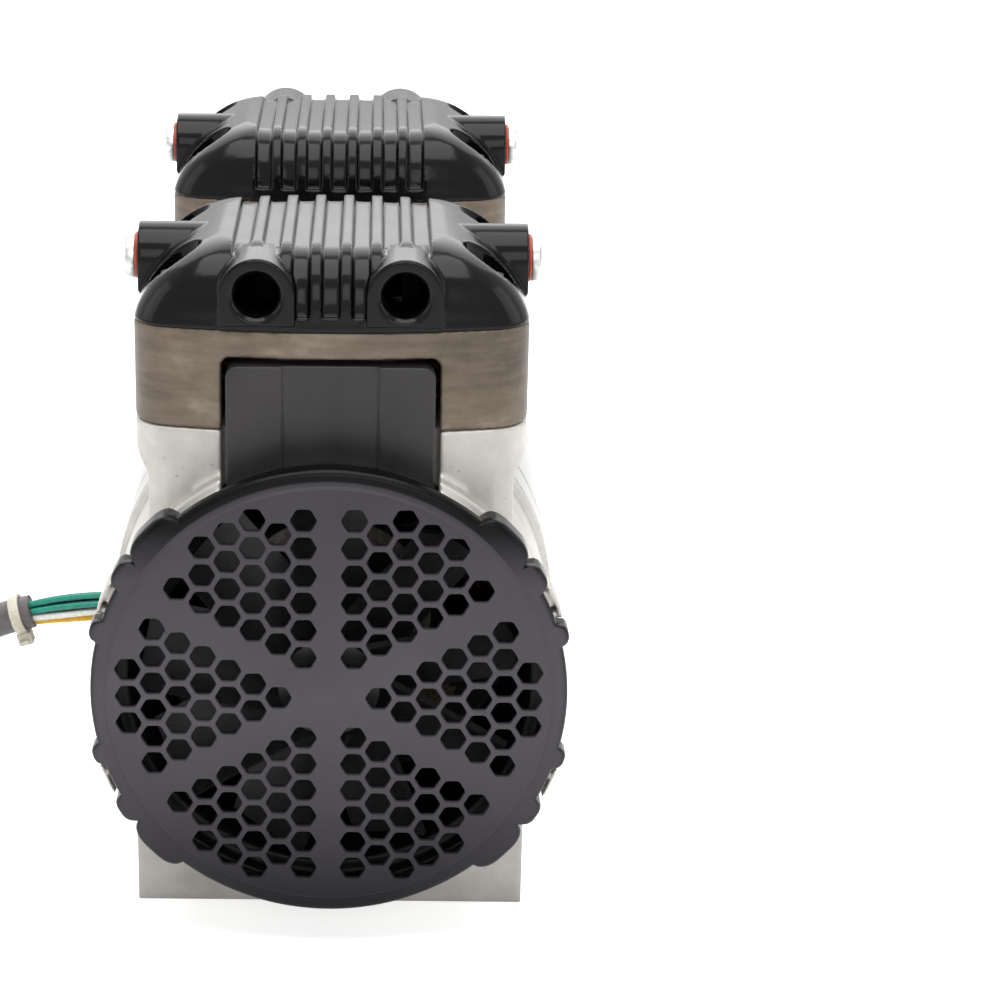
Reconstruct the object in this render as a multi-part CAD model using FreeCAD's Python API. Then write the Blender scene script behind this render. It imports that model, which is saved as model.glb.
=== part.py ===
"""Twin-head oil-free air compressor with a brushless motor between two rocking-piston pumps.

The front faces -Y and the shaft lies along Y. Z = 0 is the surface that the feet stand on.
Each pump is built once at the front and mirrored for the rear, with its crank half a turn later.
A depth is a distance inward from the face of the front fan cover, and is turned into Y by at().
"""

import FreeCAD
import Part
import math
import os

V = FreeCAD.Vector

# Overall layout
LENGTH = 292.0
SHAFT_HEIGHT = 83.0
CRANK_RADIUS = 5.0

# Fan cover
COVER_DEPTH = 15.0
COVER_FACE = 2.5
COVER_WALL = 2.5
RIM_RADIUS = 70.0
RIM_WIDTH = 5.0
GROOVE_WIDTH = 1.2
GROOVE_DEPTH = 0.8
RIM_SHOULDER_DEPTH = 2.0
RIM_SHOULDER_DROP = 1.6
RIM_SHOULDER_END = 4.0
HOLE_PITCH = 8.5
HOLE_ACROSS_FLATS = 7.3
LOBE_REACH = 3.6
LOBE_START = 2.2
LOBE_ANGLES = ((13.4, 18.7), (28.5, 35.0), (36.8, 51.0))
NOTCH_ANGLES = (18.7, 28.5)

# Crankcase
WEB_THICKNESS = 12.0
FLANGE_REACH = 2.0
FLANGE_THICKNESS = 5.0
DRUM_WALL = 8.0
SPIGOT_LENGTH = 5.0
SPIGOT_WALL = 2.8
SNAP_CLEARANCE = 0.3
WEB_OFFSET = 10.0
NECK_STEP = 4.0
NECK_WALL = 6.0
DECK_THICKNESS = 10.0
DECK_SHOULDER = 7.0
DECK_BOSS_DROP = 6.0
DECK_BOSS_REAR_DROP = 2.0
SLOT_MARGIN = 2.0
SLOT_LENGTH = 20.0
LUG_CLEARANCE_ANGLE = 0.8
LUG_START = 5.0
LUG_SLOT = 1.6
VENT_COUNT = 6
VENT_RADIUS = 9.0
VENT_MARGIN = 8.0

# Foot
FOOT_HALF_WIDTH = 60.0
FOOT_LENGTH = 54.0
FOOT_WALL = 8.0
FOOT_RISE = 60.0
FOOT_BOSS_RADIUS = 9.5
FOOT_HOLE_INSET = 16.0
FOOT_HOLE_RADIUS = 3.4
FOOT_HOLE_DEPTH = 16.0

# Cylinder block
BLOCK_HALF_WIDTH = 58.0
BLOCK_MARGIN = 16.0
BLOCK_GAP = 3.0
BLOCK_RISE = 6.0
BLOCK_HEIGHT = 30.0
BLOCK_BOW = 8.0
BLOCK_CORNER = 13.0
BLOCK_WALL = 5.0
BLOCK_TOP_PLATE = 6.0
BORE_RADIUS = 30.0
BARREL_WALL = 5.0
FIN_REACH = 4.5
FIN_THICKNESS = 1.8
FIN_COUNT = 4
SEAL_RING_INSET = 1.5
SEAL_RING_WIDTH = 2.0
SEAL_RING_DEPTH = 1.5
WINDOW_HALF_WIDTH = 31.8
WINDOW_DROP = 8.0
WINDOW_CORNER = 2.8

# Air duct
DUCT_CLEARANCE = 1.4
DUCT_WALL = 2.0
DUCT_TOP_GAP = 1.8
DUCT_CORNER = 3.6
DUCT_PROUD = 1.0
DUCT_DROP = 18.0
DUCT_OPENING_DROP = 10.0
DUCT_FIN_GAP = 0.5
DUCT_PANEL_HALF_WIDTH = 14.0
DUCT_PANEL_RECESS = 0.9

# Head
HEAD_HEIGHT = 23.0
HEAD_SKIRT = 3.0
HEAD_DRAFT = 0.8
HEAD_SIDE_ROLL = 25.0
HEAD_FRONT_ROLL = 11.0
HEAD_WALL = 4.5
VALLEY_PITCH = 8.7
VALLEY_WIDTH = 5.2
VALLEY_DEPTH = 1.7
VALLEY_START = 4.5
VALLEY_COUNT = 7
CHAMBER_WIDTH = 31.0
CHAMBER_END_WALL = 19.0
CHAMBER_HEIGHT = 11.0
CHAMBER_RIB = 5.0
PORT_X = 21.3
PORT_HEIGHT = 11.3
PORT_BOSS_RADIUS = 11.0
PORT_BOSS_PROUD = 2.0
PORT_RADIUS = 5.9
PORT_MOUTH_RADIUS = 7.3
PORT_MOUTH_DEPTH = 1.4
SIDE_BOSS_PROUD = 0.4
SIDE_BOSS_RADIUS = 10.3
SCREW_SIDE_INSET = 12.0
SCREW_END_INSET = 23.0
SCREW_RADIUS = 2.5
SCREW_HOLE_RADIUS = 2.8
SCREW_HEAD_RADIUS = 4.25
SCREW_HEAD_HEIGHT = 5.0
SCREW_SOCKET_RADIUS = 2.2
SCREW_GRIP = 9.0
COUNTERBORE_RADIUS = 7.7
COUNTERBORE_FLOOR = 7.0
SCREW_BOSS_RADIUS = 6.5

# Side plugs
PLUG_RADIUS = 7.0
PLUG_HEAD = 3.2
PLUG_SHANK = 10.0
PLUG_SHANK_CLEARANCE = 0.05
PLUG_SOCKET_FLATS = 6.0
PLUG_SOCKET_DEPTH = 5.0
SEAL_RADIUS = 7.4
SEAL_THICKNESS = 0.8

# Valves
PLATE_THICKNESS = 4.0
PLATE_CLEARANCE = 0.2
GASKET_THICKNESS = 0.8
VALVE_X = 14.0
INTAKE_HOLE_RADIUS = 5.0
INTAKE_HOLE_OFFSET = 8.0
DISCHARGE_HOLE_RADIUS = 4.0
REED_THICKNESS = 0.3
REED_HALF_WIDTH = 6.5
REED_TAIL = 6.0
STOP_THICKNESS = 1.5
STOP_RISE = 3.0
STOP_FOOT = 5.0
STOP_GAP = 0.1
STOP_END_GAP = 1.0

# Piston and rod
CROWN_GAP = 1.4
PISTON_SIDE_CLEARANCE = 0.3
CROWN_THICKNESS = 5.0
RETAINER_STEP = 6.5
RETAINER_THICKNESS = 4.8
CUP_THICKNESS = 1.2
CUP_LIP = 5.0
CUP_CLEARANCE = 0.05
RETAINER_SCREW_RADIUS = 3.0
RETAINER_SCREW_HEAD = 5.5
RETAINER_SCREW_LENGTH = 18.0
RETAINER_SCREW_HEAD_HEIGHT = 2.8
RETAINER_SOCKET_RADIUS = 2.0
RETAINER_SEAT = 1.8
RETAINER_SINK_CLEARANCE = 0.2
ROD_EYE_WALL = 5.0
ROD_WIDTH = 14.0
ROD_SHANK_HALF_WIDTH = 9.0
ROD_SHANK_THICKNESS = 10.0
ROD_WEB_THICKNESS = 4.0
ROD_FLANGE = 3.0
ROD_DECK_CLEARANCE = 1.6

# Bearings
ROD_BEARING_BORE = 12.5
ROD_BEARING_OUTSIDE = 26.0
ROD_BEARING_WIDTH = 15.0
MAIN_BEARING_BORE = 8.5
MAIN_BEARING_OUTSIDE = 20.0
MAIN_BEARING_WIDTH = 12.0
MAIN_BEARING_SEAT = 2.0
RACE_WALL_SHARE = 0.5
RACE_GAP = 0.1
HUB_WALL = 6.0
HUB_END_WALL = 2.0
BEARING_LIP = 4.0

# Shaft, eccentric and fan
SHAFT_END = 5.5
SHAFT_STUB_RADIUS = 6.0
SHAFT_CORE_RADIUS = 10.0
SHAFT_SHOULDER_GAP = 2.0
WEIGHT_RADIUS = 42.0
WEIGHT_THICKNESS = 9.0
WEIGHT_HALF_ANGLE = 68.0
WEIGHT_GAP = 0.5
HUB_RADIUS = 15.0
SET_SCREW_RADIUS = 2.5
SET_SCREW_SINK = 1.5
SHAFT_CHAMFER = 0.6
SHOULDER_RISE = 2.0
SHOULDER_WIDTH = 1.0
FAN_CLEARANCE = 4.0
FAN_START = 8.0
FAN_WIDTH = 19.0
FAN_HUB_RADIUS = 15.0
BLADE_COUNT = 9
BLADE_THICKNESS = 2.0
BLADE_PITCH_ANGLE = 38.0
BLADE_CAMBER = 3.0
BLADE_CHORD_SHARE = 0.9
CLIP_THICKNESS = 1.2
CLIP_RADIUS = 9.5

# Motor
SHELL_WALL = 3.6
SHELL_GROOVE_OFFSET = 21.0
SHELL_GROOVE_WIDTH = 1.6
SHELL_GROOVE_DEPTH = 1.0
STACK_GAP = 26.0
STATOR_YOKE_WALL = 10.4
STATOR_BORE = 37.8
TOOTH_COUNT = 12
TOOTH_WIDTH = 9.0
TOOTH_TIP = 2.4
TOOTH_TIP_WIDTH = 15.0
COIL_THICKNESS = 3.6
COIL_OVERHANG = 6.0
COIL_TIP_GAP = 2.8
COIL_YOKE_GAP = 2.5
COIL_CORNER = 3.0
MAGNET_COUNT = 8
MAGNET_THICKNESS = 3.2
MAGNET_GAP_ANGLE = 5.0
AIR_GAP = 0.6
BOARD_THICKNESS = 1.6
BOARD_CLEARANCE = 0.4
BOARD_BORE_MARGIN = 1.0
TIE_BOLT_INSET = 6.0
TIE_BOLT_RADIUS = 2.5
TIE_BOLT_HOLE = 2.7
TIE_BOLT_HEAD_RADIUS = 4.2
TIE_BOLT_HEAD_HEIGHT = 5.0
TIE_BOLT_RECESS = 2.0
TIE_BOLT_CLEARANCE = 0.6
TIE_NUT_HEIGHT = 4.0
TIE_NUT_FLATS = 7.2
TIE_BOLT_ANGLES = (15.0, 165.0, 225.0, 315.0)

# Motor lead
LEAD_EXIT_GAP = 13.0
LEAD_HEIGHT = 72.5
GROMMET_NECK_RADIUS = 6.4
GROMMET_FLANGE_RADIUS = 8.5
GROMMET_FLANGE = 2.0
GROMMET_BORE = 4.7
WIRE_COUNT = 6
WIRE_RADIUS = 1.2
WIRE_RING_RADIUS = 3.2
WIRE_START_INSET = 6.0
SLEEVE_START_X = -92.0
SLEEVE_RADIUS = 5.5
ARC_SHARE = 0.45
TIE_X = -98.2
TIE_WIDTH = 3.6
TIE_THICKNESS = 1.2
TIE_HEAD = 6.0
TIE_TAIL = 12.0
TIE_LAP = 2.0
COIL_MID_RADIUS = 60.0
COIL_STUB = 37.0
COIL_STUB_GAP = 0.4
COIL_STUB_TAPER = 0.06
CONNECTOR_LENGTH = 24.0
CONNECTOR_WIDTH = 18.0
CONNECTOR_HEIGHT = 11.0
CONNECTOR_GAP = 0.3

# Values that follow from the ones above
BLOCK_HALF_DEPTH = BORE_RADIUS + BLOCK_MARGIN
BLOCK_FRONT = COVER_DEPTH + BLOCK_GAP
HEAD_DEPTH = BLOCK_FRONT + BLOCK_HALF_DEPTH
WEB_START = HEAD_DEPTH + WEB_OFFSET
CRANKCASE_END = WEB_START + WEB_THICKNESS
NECK_HALF_WIDTH = BLOCK_HALF_WIDTH - NECK_STEP
SLOT_HALF_WIDTH = BORE_RADIUS + SLOT_MARGIN
FOOT_START = CRANKCASE_END - FOOT_LENGTH
FOOT_HOLE_X = FOOT_HALF_WIDTH - FOOT_HOLE_INSET
WINDOW_HEIGHT = BLOCK_HEIGHT - WINDOW_DROP
DUCT_START = BLOCK_FRONT - DUCT_PROUD
HEAD_TOP_HALF_WIDTH = BLOCK_HALF_WIDTH - HEAD_SIDE_ROLL
HEAD_TOP_HALF_DEPTH = BLOCK_HALF_DEPTH - HEAD_FRONT_ROLL
CHAMBER_HALF_DEPTH = BLOCK_HALF_DEPTH - CHAMBER_END_WALL
PORT_FACE = BLOCK_FRONT - PORT_BOSS_PROUD
REED_LENGTH = 2 * (CHAMBER_HALF_DEPTH - STOP_FOOT - REED_TAIL - STOP_END_GAP)
SIDE_BOSS_REACH = BLOCK_HALF_WIDTH + SIDE_BOSS_PROUD
SCREW_X = BLOCK_HALF_WIDTH - SCREW_SIDE_INSET
SCREW_Y = BLOCK_HALF_DEPTH - SCREW_END_INSET
RETAINER_RADIUS = BORE_RADIUS - RETAINER_STEP
MAIN_BEARING_START = WEB_START + MAIN_BEARING_SEAT
SHAFT_CORE_START = MAIN_BEARING_START + MAIN_BEARING_WIDTH + SHAFT_SHOULDER_GAP
STACK_START = CRANKCASE_END + STACK_GAP
LEAD_EXIT_DEPTH = CRANKCASE_END + LEAD_EXIT_GAP
DISC_RADIUS = RIM_RADIUS - RIM_WIDTH
DRUM_RADIUS = RIM_RADIUS - FLANGE_REACH
DRUM_BORE = DRUM_RADIUS - DRUM_WALL
VENT_CIRCLE = DRUM_BORE - VENT_MARGIN - VENT_RADIUS
FAN_RADIUS = DRUM_BORE - FAN_CLEARANCE
BLOCK_FLOOR = SHAFT_HEIGHT + RIM_RADIUS + BLOCK_RISE
TOP_OF_BLOCK = BLOCK_FLOOR + BLOCK_HEIGHT
DECK_FLOOR = BLOCK_FLOOR - DECK_THICKNESS
HEAD_TOP = TOP_OF_BLOCK + HEAD_HEIGHT
PORT_AXIS = TOP_OF_BLOCK + PORT_HEIGHT
PLATE_TOP = TOP_OF_BLOCK + PLATE_THICKNESS
CHAMBER_FLOOR = PLATE_TOP + GASKET_THICKNESS
SPIGOT_RADIUS = RIM_RADIUS - COVER_WALL - SNAP_CLEARANCE
SHELL_RADIUS = RIM_RADIUS
SHELL_BORE = SHELL_RADIUS - SHELL_WALL
STATOR_YOKE_BORE = SHELL_BORE - STATOR_YOKE_WALL
TIE_BOLT_CIRCLE = SHELL_BORE - TIE_BOLT_INSET
BOARD_OUTER_RADIUS = TIE_BOLT_CIRCLE - TIE_BOLT_RADIUS - BOARD_CLEARANCE
BOARD_INNER_RADIUS = STATOR_BORE + BOARD_BORE_MARGIN
WIRE_START_X = WIRE_START_INSET - SHELL_RADIUS
ROD_EYE_RADIUS = ROD_BEARING_OUTSIDE + ROD_EYE_WALL
CROWN_RADIUS = BORE_RADIUS - CRANK_RADIUS - PISTON_SIDE_CLEARANCE
CROWN_BASE = TOP_OF_BLOCK - CROWN_GAP - RETAINER_THICKNESS - CUP_THICKNESS - CROWN_THICKNESS
ROD_FLARE = CROWN_BASE - 2 * CRANK_RADIUS - BLOCK_FLOOR - ROD_DECK_CLEARANCE
STACK_END = LENGTH - STACK_START
WEIGHT_START = HEAD_DEPTH - ROD_BEARING_WIDTH / 2 - SHOULDER_WIDTH - WEIGHT_THICKNESS
ROTOR_RADIUS = STATOR_BORE - AIR_GAP
LEAD_Y = LEAD_EXIT_DEPTH - LENGTH / 2

# The sleeve's route from the bundle to the start of the loop, as X and Z in the plane of the exit
SLEEVE_ROUTE = (
    (SLEEVE_START_X, LEAD_HEIGHT),
    (-104.7, 72.5),
    (-116.9, 69.0),
    (-127.4, 61.9),
    (-135.3, 51.9),
    (-140.4, 40.3),
    (-145.2, 28.5),
    (-152.3, 18.0),
    (-162.3, 10.3),
    (-174.2, 6.1),
    (-186.9, SLEEVE_RADIUS),
)


def at(depth):
    """Y of a place that lies this far inward from the front face."""
    return depth - LENGTH / 2


def cylinder_y(radius, start, end, x=0.0, z=SHAFT_HEIGHT):
    return Part.makeCylinder(radius, end - start, V(x, at(start), z), V(0, 1, 0))


def ring_y(outer, inner, start, end, x=0.0, z=SHAFT_HEIGHT):
    return cylinder_y(outer, start, end, x, z).cut(cylinder_y(inner, start - 1, end + 1, x, z))


def cylinder_z(radius, bottom, top, x, depth):
    return Part.makeCylinder(radius, top - bottom, V(x, at(depth), bottom), V(0, 0, 1))


def cylinder_x(radius, start, end, depth, z):
    return Part.makeCylinder(radius, end - start, V(start, at(depth), z), V(1, 0, 0))


def box(x0, x1, depth0, depth1, z0, z1):
    return Part.makeBox(x1 - x0, depth1 - depth0, z1 - z0, V(x0, at(depth0), z0))


def fuse(shapes):
    shapes = list(shapes)
    if len(shapes) == 1:
        return shapes[0]
    return shapes[0].multiFuse(shapes[1:]).removeSplitter()


def mirrored(shape):
    """The same piece on the rear pump."""
    return shape.mirror(V(0, 0, 0), V(0, 1, 0))


def turned(shape, angle, centre_z=SHAFT_HEIGHT):
    copy = shape.copy()
    copy.rotate(V(0, 0, centre_z), V(0, 1, 0), -angle)
    return copy


def face_of(steps, place):
    """A flat face from a closed outline; a step is a point, or (middle, end) of an arc."""
    edges = []
    here = steps[0]
    for step in list(steps[1:]) + [steps[0]]:
        if isinstance(step[0], tuple):
            middle, end = step
            edges.append(Part.Arc(place(*here), place(*middle), place(*end)).toShape())
        else:
            end = step
            edges.append(Part.makeLine(place(*here), place(*end)))
        here = end
    return Part.Face(Part.Wire(edges))


def extruded_along_y(steps, start, end):
    face = face_of(steps, lambda x, z: V(x, at(start), z))
    return face.extrude(V(0, end - start, 0))


def extruded_along_x(steps, half_width):
    face = face_of(steps, lambda depth, z: V(-half_width, at(depth), z))
    return face.extrude(V(2 * half_width, 0, 0))


def revolved_about_shaft(steps):
    """A solid of revolution about the shaft from an outline of (depth, radius) steps."""
    face = face_of(steps, lambda depth, radius: V(0, at(depth), SHAFT_HEIGHT + radius))
    return face.revolve(V(0, 0, SHAFT_HEIGHT), V(0, 1, 0), 360)


def sector(inner, outer, angle0, angle1, start, end):
    """A piece of a ring about the shaft, with angles measured upward from +X."""
    def place(radius, angle):
        turn = math.radians(angle)
        return V(radius * math.cos(turn), at(start), SHAFT_HEIGHT + radius * math.sin(turn))
    middle = (angle0 + angle1) / 2
    edges = [
        Part.Arc(place(outer, angle0), place(outer, middle), place(outer, angle1)).toShape(),
        Part.makeLine(place(outer, angle1), place(inner, angle1)),
        Part.Arc(place(inner, angle1), place(inner, middle), place(inner, angle0)).toShape(),
        Part.makeLine(place(inner, angle0), place(outer, angle0)),
    ]
    return Part.Face(Part.Wire(edges)).extrude(V(0, end - start, 0))


def four_ways(shape):
    """Copies left and right, above and below the shaft."""
    copies = [shape, shape.mirror(V(0, 0, 0), V(1, 0, 0))]
    below = [copy.mirror(V(0, 0, SHAFT_HEIGHT), V(0, 0, 1)) for copy in copies]
    return copies + below


def screw_places():
    """The four screws of a head, as X and depth."""
    for x in (-SCREW_X, SCREW_X):
        for depth in (HEAD_DEPTH - SCREW_Y, HEAD_DEPTH + SCREW_Y):
            yield x, depth


def bowed_plan(inset, bottom, top):
    """The block's plan, a rounded rectangle with bowed front and back, drawn smaller by inset."""
    half_width = BLOCK_HALF_WIDTH - inset
    front = BLOCK_FRONT + inset
    back = 2 * HEAD_DEPTH - front
    steps = [
        (-half_width, front + BLOCK_BOW),
        ((0, front), (half_width, front + BLOCK_BOW)),
        (half_width, back - BLOCK_BOW),
        ((0, back), (-half_width, back - BLOCK_BOW)),
    ]
    face = face_of(steps, lambda x, depth: V(x, at(depth), bottom))
    prism = face.extrude(V(0, 0, top - bottom))
    corners = [edge for edge in prism.Edges if edge.BoundBox.ZLength > (top - bottom) / 2]
    return prism.makeFillet(BLOCK_CORNER - inset, corners)


def hexagon(across_flats, x, z, start, end):
    """A hexagonal prism along the shaft with flats above and below."""
    radius = across_flats / math.sqrt(3)
    corners = []
    for index in range(7):
        turn = math.radians(60 * index)
        corners.append(V(x + radius * math.cos(turn), at(start), z + radius * math.sin(turn)))
    return Part.Face(Part.makePolygon(corners)).extrude(V(0, end - start, 0))


def grille_holes():
    """Six triangular fields of hexagonal holes, as columns at whole pitches from the centre."""
    columns = {
        2: (0.0,),
        3: (-0.5, 0.5),
        4: (-1.0, 0.0, 1.0),
        5: (-1.5, -0.5, 0.5, 1.5),
        6: (-2.0, -1.0, 0.0, 1.0, 2.0),
        7: (-2.5, -1.5, -0.5, 0.5, 1.5, 2.5),
        8: (-1.0, 0.0, 1.0),
    }
    spacing = HOLE_PITCH * math.sqrt(3) / 2
    holes = []
    for field in range(6):
        turn = math.radians(60 * field)
        for column, rows in columns.items():
            for row in rows:
                x = column * spacing
                z = row * HOLE_PITCH
                across = x * math.cos(turn) - z * math.sin(turn)
                up = x * math.sin(turn) + z * math.cos(turn)
                holes.append(hexagon(HOLE_ACROSS_FLATS, across, SHAFT_HEIGHT + up, -1, COVER_FACE + 1))
    return holes


def fan_cover():
    """A round cap with a perforated face, a stepped rim and grip lobes round its edge."""
    inside = RIM_RADIUS - COVER_WALL
    cap = revolved_about_shaft([
        (0, 0),
        (0, DISC_RADIUS - GROOVE_WIDTH),
        (GROOVE_DEPTH, DISC_RADIUS - GROOVE_WIDTH),
        (GROOVE_DEPTH, DISC_RADIUS),
        ((RIM_SHOULDER_DEPTH, RIM_RADIUS - RIM_SHOULDER_DROP), (RIM_SHOULDER_END, RIM_RADIUS)),
        (COVER_DEPTH, RIM_RADIUS),
        (COVER_DEPTH, inside),
        (COVER_FACE, inside),
        (COVER_FACE, 0),
    ])
    lobes = []
    for angle0, angle1 in LOBE_ANGLES:
        reach = RIM_RADIUS + LOBE_REACH
        lobe = sector(inside + COVER_WALL / 2, reach, angle0, angle1, LOBE_START, COVER_DEPTH)
        lobes.extend(four_ways(lobe))
    cap = fuse([cap] + lobes)
    outside = RIM_RADIUS + 2 * LOBE_REACH
    notch = sector(inside - 1, outside, *NOTCH_ANGLES, RIM_SHOULDER_END, COVER_DEPTH + 1)
    cap = cap.cut(Part.makeCompound(four_ways(notch)))
    return cap.cut(Part.makeCompound(grille_holes()))


def deck_slot():
    """The opening in the deck that the rod swings in."""
    start = WEB_START - SLOT_LENGTH
    return box(-SLOT_HALF_WIDTH, SLOT_HALF_WIDTH, start, WEB_START, SHAFT_HEIGHT, BLOCK_FLOOR + 1)


def duct_opening():
    """The way for the air duct through the front of the crankcase."""
    half = WINDOW_HALF_WIDTH
    back = DUCT_START + BLOCK_WALL + DUCT_WALL
    bottom = BLOCK_FLOOR - DUCT_DROP - DUCT_OPENING_DROP
    return box(-half, half, 0, back, bottom, BLOCK_FLOOR + 1)


def neck_and_deck():
    """The neck that rises from the drum and widens into the deck under the cylinder block."""
    shoulder = DECK_FLOOR - DECK_SHOULDER
    middle = (NECK_HALF_WIDTH + BLOCK_HALF_WIDTH) / 2
    widening = BLOCK_HALF_WIDTH - NECK_HALF_WIDTH
    low = shoulder + 0.4 * DECK_SHOULDER
    high = shoulder + 0.6 * DECK_SHOULDER
    edge = DECK_FLOOR + 0.2 * DECK_SHOULDER
    steps = [
        (-NECK_HALF_WIDTH, SHAFT_HEIGHT),
        (NECK_HALF_WIDTH, SHAFT_HEIGHT),
        (NECK_HALF_WIDTH, shoulder),
        ((NECK_HALF_WIDTH + 0.2 * widening, low), (middle, high)),
        ((BLOCK_HALF_WIDTH - 0.1 * widening, DECK_FLOOR), (BLOCK_HALF_WIDTH, edge)),
        (BLOCK_HALF_WIDTH, BLOCK_FLOOR),
        (-BLOCK_HALF_WIDTH, BLOCK_FLOOR),
        (-BLOCK_HALF_WIDTH, edge),
        ((-BLOCK_HALF_WIDTH + 0.1 * widening, DECK_FLOOR), (-middle, high)),
        ((-NECK_HALF_WIDTH - 0.2 * widening, low), (-NECK_HALF_WIDTH, shoulder)),
    ]
    column = extruded_along_y(steps, BLOCK_FRONT, 2 * HEAD_DEPTH - BLOCK_FRONT)
    column = column.common(bowed_plan(0, SHAFT_HEIGHT, BLOCK_FLOOR))
    behind = box(-100, 100, CRANKCASE_END, LENGTH / 2, 0, DECK_FLOOR)
    over_shell = cylinder_y(SHELL_RADIUS + 1, CRANKCASE_END, LENGTH / 2)
    column = column.cut(behind).cut(over_shell)
    hollow = box(
        -NECK_HALF_WIDTH + NECK_WALL, NECK_HALF_WIDTH - NECK_WALL,
        BLOCK_FRONT + BLOCK_WALL, WEB_START, SHAFT_HEIGHT, DECK_FLOOR,
    )
    return column, hollow.common(bowed_plan(BLOCK_WALL, SHAFT_HEIGHT, DECK_FLOOR))


def foot():
    """A walled foot, open below, with two threaded bosses."""
    shell = box(-FOOT_HALF_WIDTH, FOOT_HALF_WIDTH, FOOT_START, CRANKCASE_END, 0, FOOT_RISE)
    pocket = box(
        -FOOT_HALF_WIDTH + FOOT_WALL, FOOT_HALF_WIDTH - FOOT_WALL,
        FOOT_START + FOOT_WALL, CRANKCASE_END - FOOT_WALL, -1, FOOT_RISE - FOOT_WALL,
    )
    drum = cylinder_y(DRUM_RADIUS, FOOT_START, CRANKCASE_END)
    walls = shell.cut(pocket.cut(drum))
    middle = (FOOT_START + CRANKCASE_END) / 2
    ceiling = FOOT_RISE - FOOT_WALL
    places = (-FOOT_HOLE_X, FOOT_HOLE_X)
    bosses = [cylinder_z(FOOT_BOSS_RADIUS, 0, ceiling, x, middle) for x in places]
    holes = [cylinder_z(FOOT_HOLE_RADIUS, -1, FOOT_HOLE_DEPTH, x, middle) for x in places]
    return fuse([walls] + bosses), holes


def crankcase_lug():
    """A cast lug that shows in the cover's notch, split by a narrow slot."""
    angle0 = NOTCH_ANGLES[0] + LUG_CLEARANCE_ANGLE
    angle1 = NOTCH_ANGLES[1] - LUG_CLEARANCE_ANGLE
    outside = RIM_RADIUS + LOBE_REACH - 1
    lug = sector(SPIGOT_RADIUS - 1, outside, angle0, angle1, LUG_START, COVER_DEPTH + 2)
    slot_top = RIM_RADIUS + LUG_SLOT
    slot = sector(RIM_RADIUS, slot_top, angle0 - 2, angle1 + 2, LUG_START - 1, COVER_DEPTH - 3)
    return lug.cut(slot)


def tie_bolt_places():
    for angle in TIE_BOLT_ANGLES:
        turn = math.radians(angle)
        yield TIE_BOLT_CIRCLE * math.cos(turn), SHAFT_HEIGHT + TIE_BOLT_CIRCLE * math.sin(turn)


def crankcase():
    """A cast drum with flanges, neck, deck and foot, and a web that holds the main bearing."""
    drum = cylinder_y(DRUM_RADIUS, COVER_DEPTH, CRANKCASE_END)
    front_flange = cylinder_y(RIM_RADIUS, COVER_DEPTH, COVER_DEPTH + FLANGE_THICKNESS)
    rear_flange = cylinder_y(SHELL_RADIUS, CRANKCASE_END - FLANGE_THICKNESS, CRANKCASE_END)
    front_spigot = cylinder_y(SPIGOT_RADIUS, COVER_DEPTH - SPIGOT_LENGTH, COVER_DEPTH)
    rear_spigot = cylinder_y(SHELL_BORE, CRANKCASE_END, CRANKCASE_END + SPIGOT_LENGTH)
    column, neck_hollow = neck_and_deck()
    base, foot_holes = foot()
    lugs = four_ways(crankcase_lug())
    body = fuse([drum, front_flange, rear_flange, front_spigot, rear_spigot, column, base] + lugs)
    main_end = MAIN_BEARING_START + MAIN_BEARING_WIDTH
    cuts = [
        cylinder_y(SPIGOT_RADIUS - SPIGOT_WALL, 0, COVER_DEPTH),
        cylinder_y(DRUM_BORE, 0, WEB_START),
        cylinder_y(SHELL_BORE - SPIGOT_WALL, CRANKCASE_END, CRANKCASE_END + SPIGOT_LENGTH + 1),
        neck_hollow,
        deck_slot(),
        duct_opening(),
    ]
    body = body.cut(fuse(cuts))
    hub = cylinder_y(MAIN_BEARING_OUTSIDE + HUB_WALL, WEB_START - HUB_END_WALL, main_end + HUB_END_WALL)
    deck_bosses = []
    for x, depth in screw_places():
        drop = DECK_BOSS_DROP if depth < WEB_START else DECK_BOSS_REAR_DROP
        deck_bosses.append(cylinder_z(SCREW_BOSS_RADIUS, DECK_FLOOR - drop, BLOCK_FLOOR, x, depth))
    body = fuse([body, hub] + deck_bosses)
    holes = list(foot_holes)
    for x, depth in screw_places():
        holes.append(cylinder_z(SCREW_RADIUS, BLOCK_FLOOR - SCREW_GRIP, BLOCK_FLOOR + 1, x, depth))
    holes.append(cylinder_y(MAIN_BEARING_OUTSIDE, MAIN_BEARING_START, main_end + HUB_END_WALL + 1))
    holes.append(cylinder_y(MAIN_BEARING_OUTSIDE - BEARING_LIP, WEB_START - HUB_END_WALL - 1, main_end))
    for index in range(VENT_COUNT):
        turn = math.radians(360 * index / VENT_COUNT)
        x = VENT_CIRCLE * math.cos(turn)
        z = SHAFT_HEIGHT + VENT_CIRCLE * math.sin(turn)
        holes.append(cylinder_y(VENT_RADIUS, WEB_START - 1, CRANKCASE_END + 1, x, z))
    for x, z in tie_bolt_places():
        holes.append(cylinder_y(TIE_BOLT_HOLE, WEB_START - 1, CRANKCASE_END + SPIGOT_LENGTH + 1, x, z))
        recess = WEB_START - TIE_BOLT_HEAD_HEIGHT - TIE_BOLT_RECESS
        holes.append(cylinder_y(TIE_BOLT_HEAD_RADIUS + TIE_BOLT_CLEARANCE, recess, WEB_START, x, z))
    return body.cut(Part.makeCompound(holes))


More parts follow.
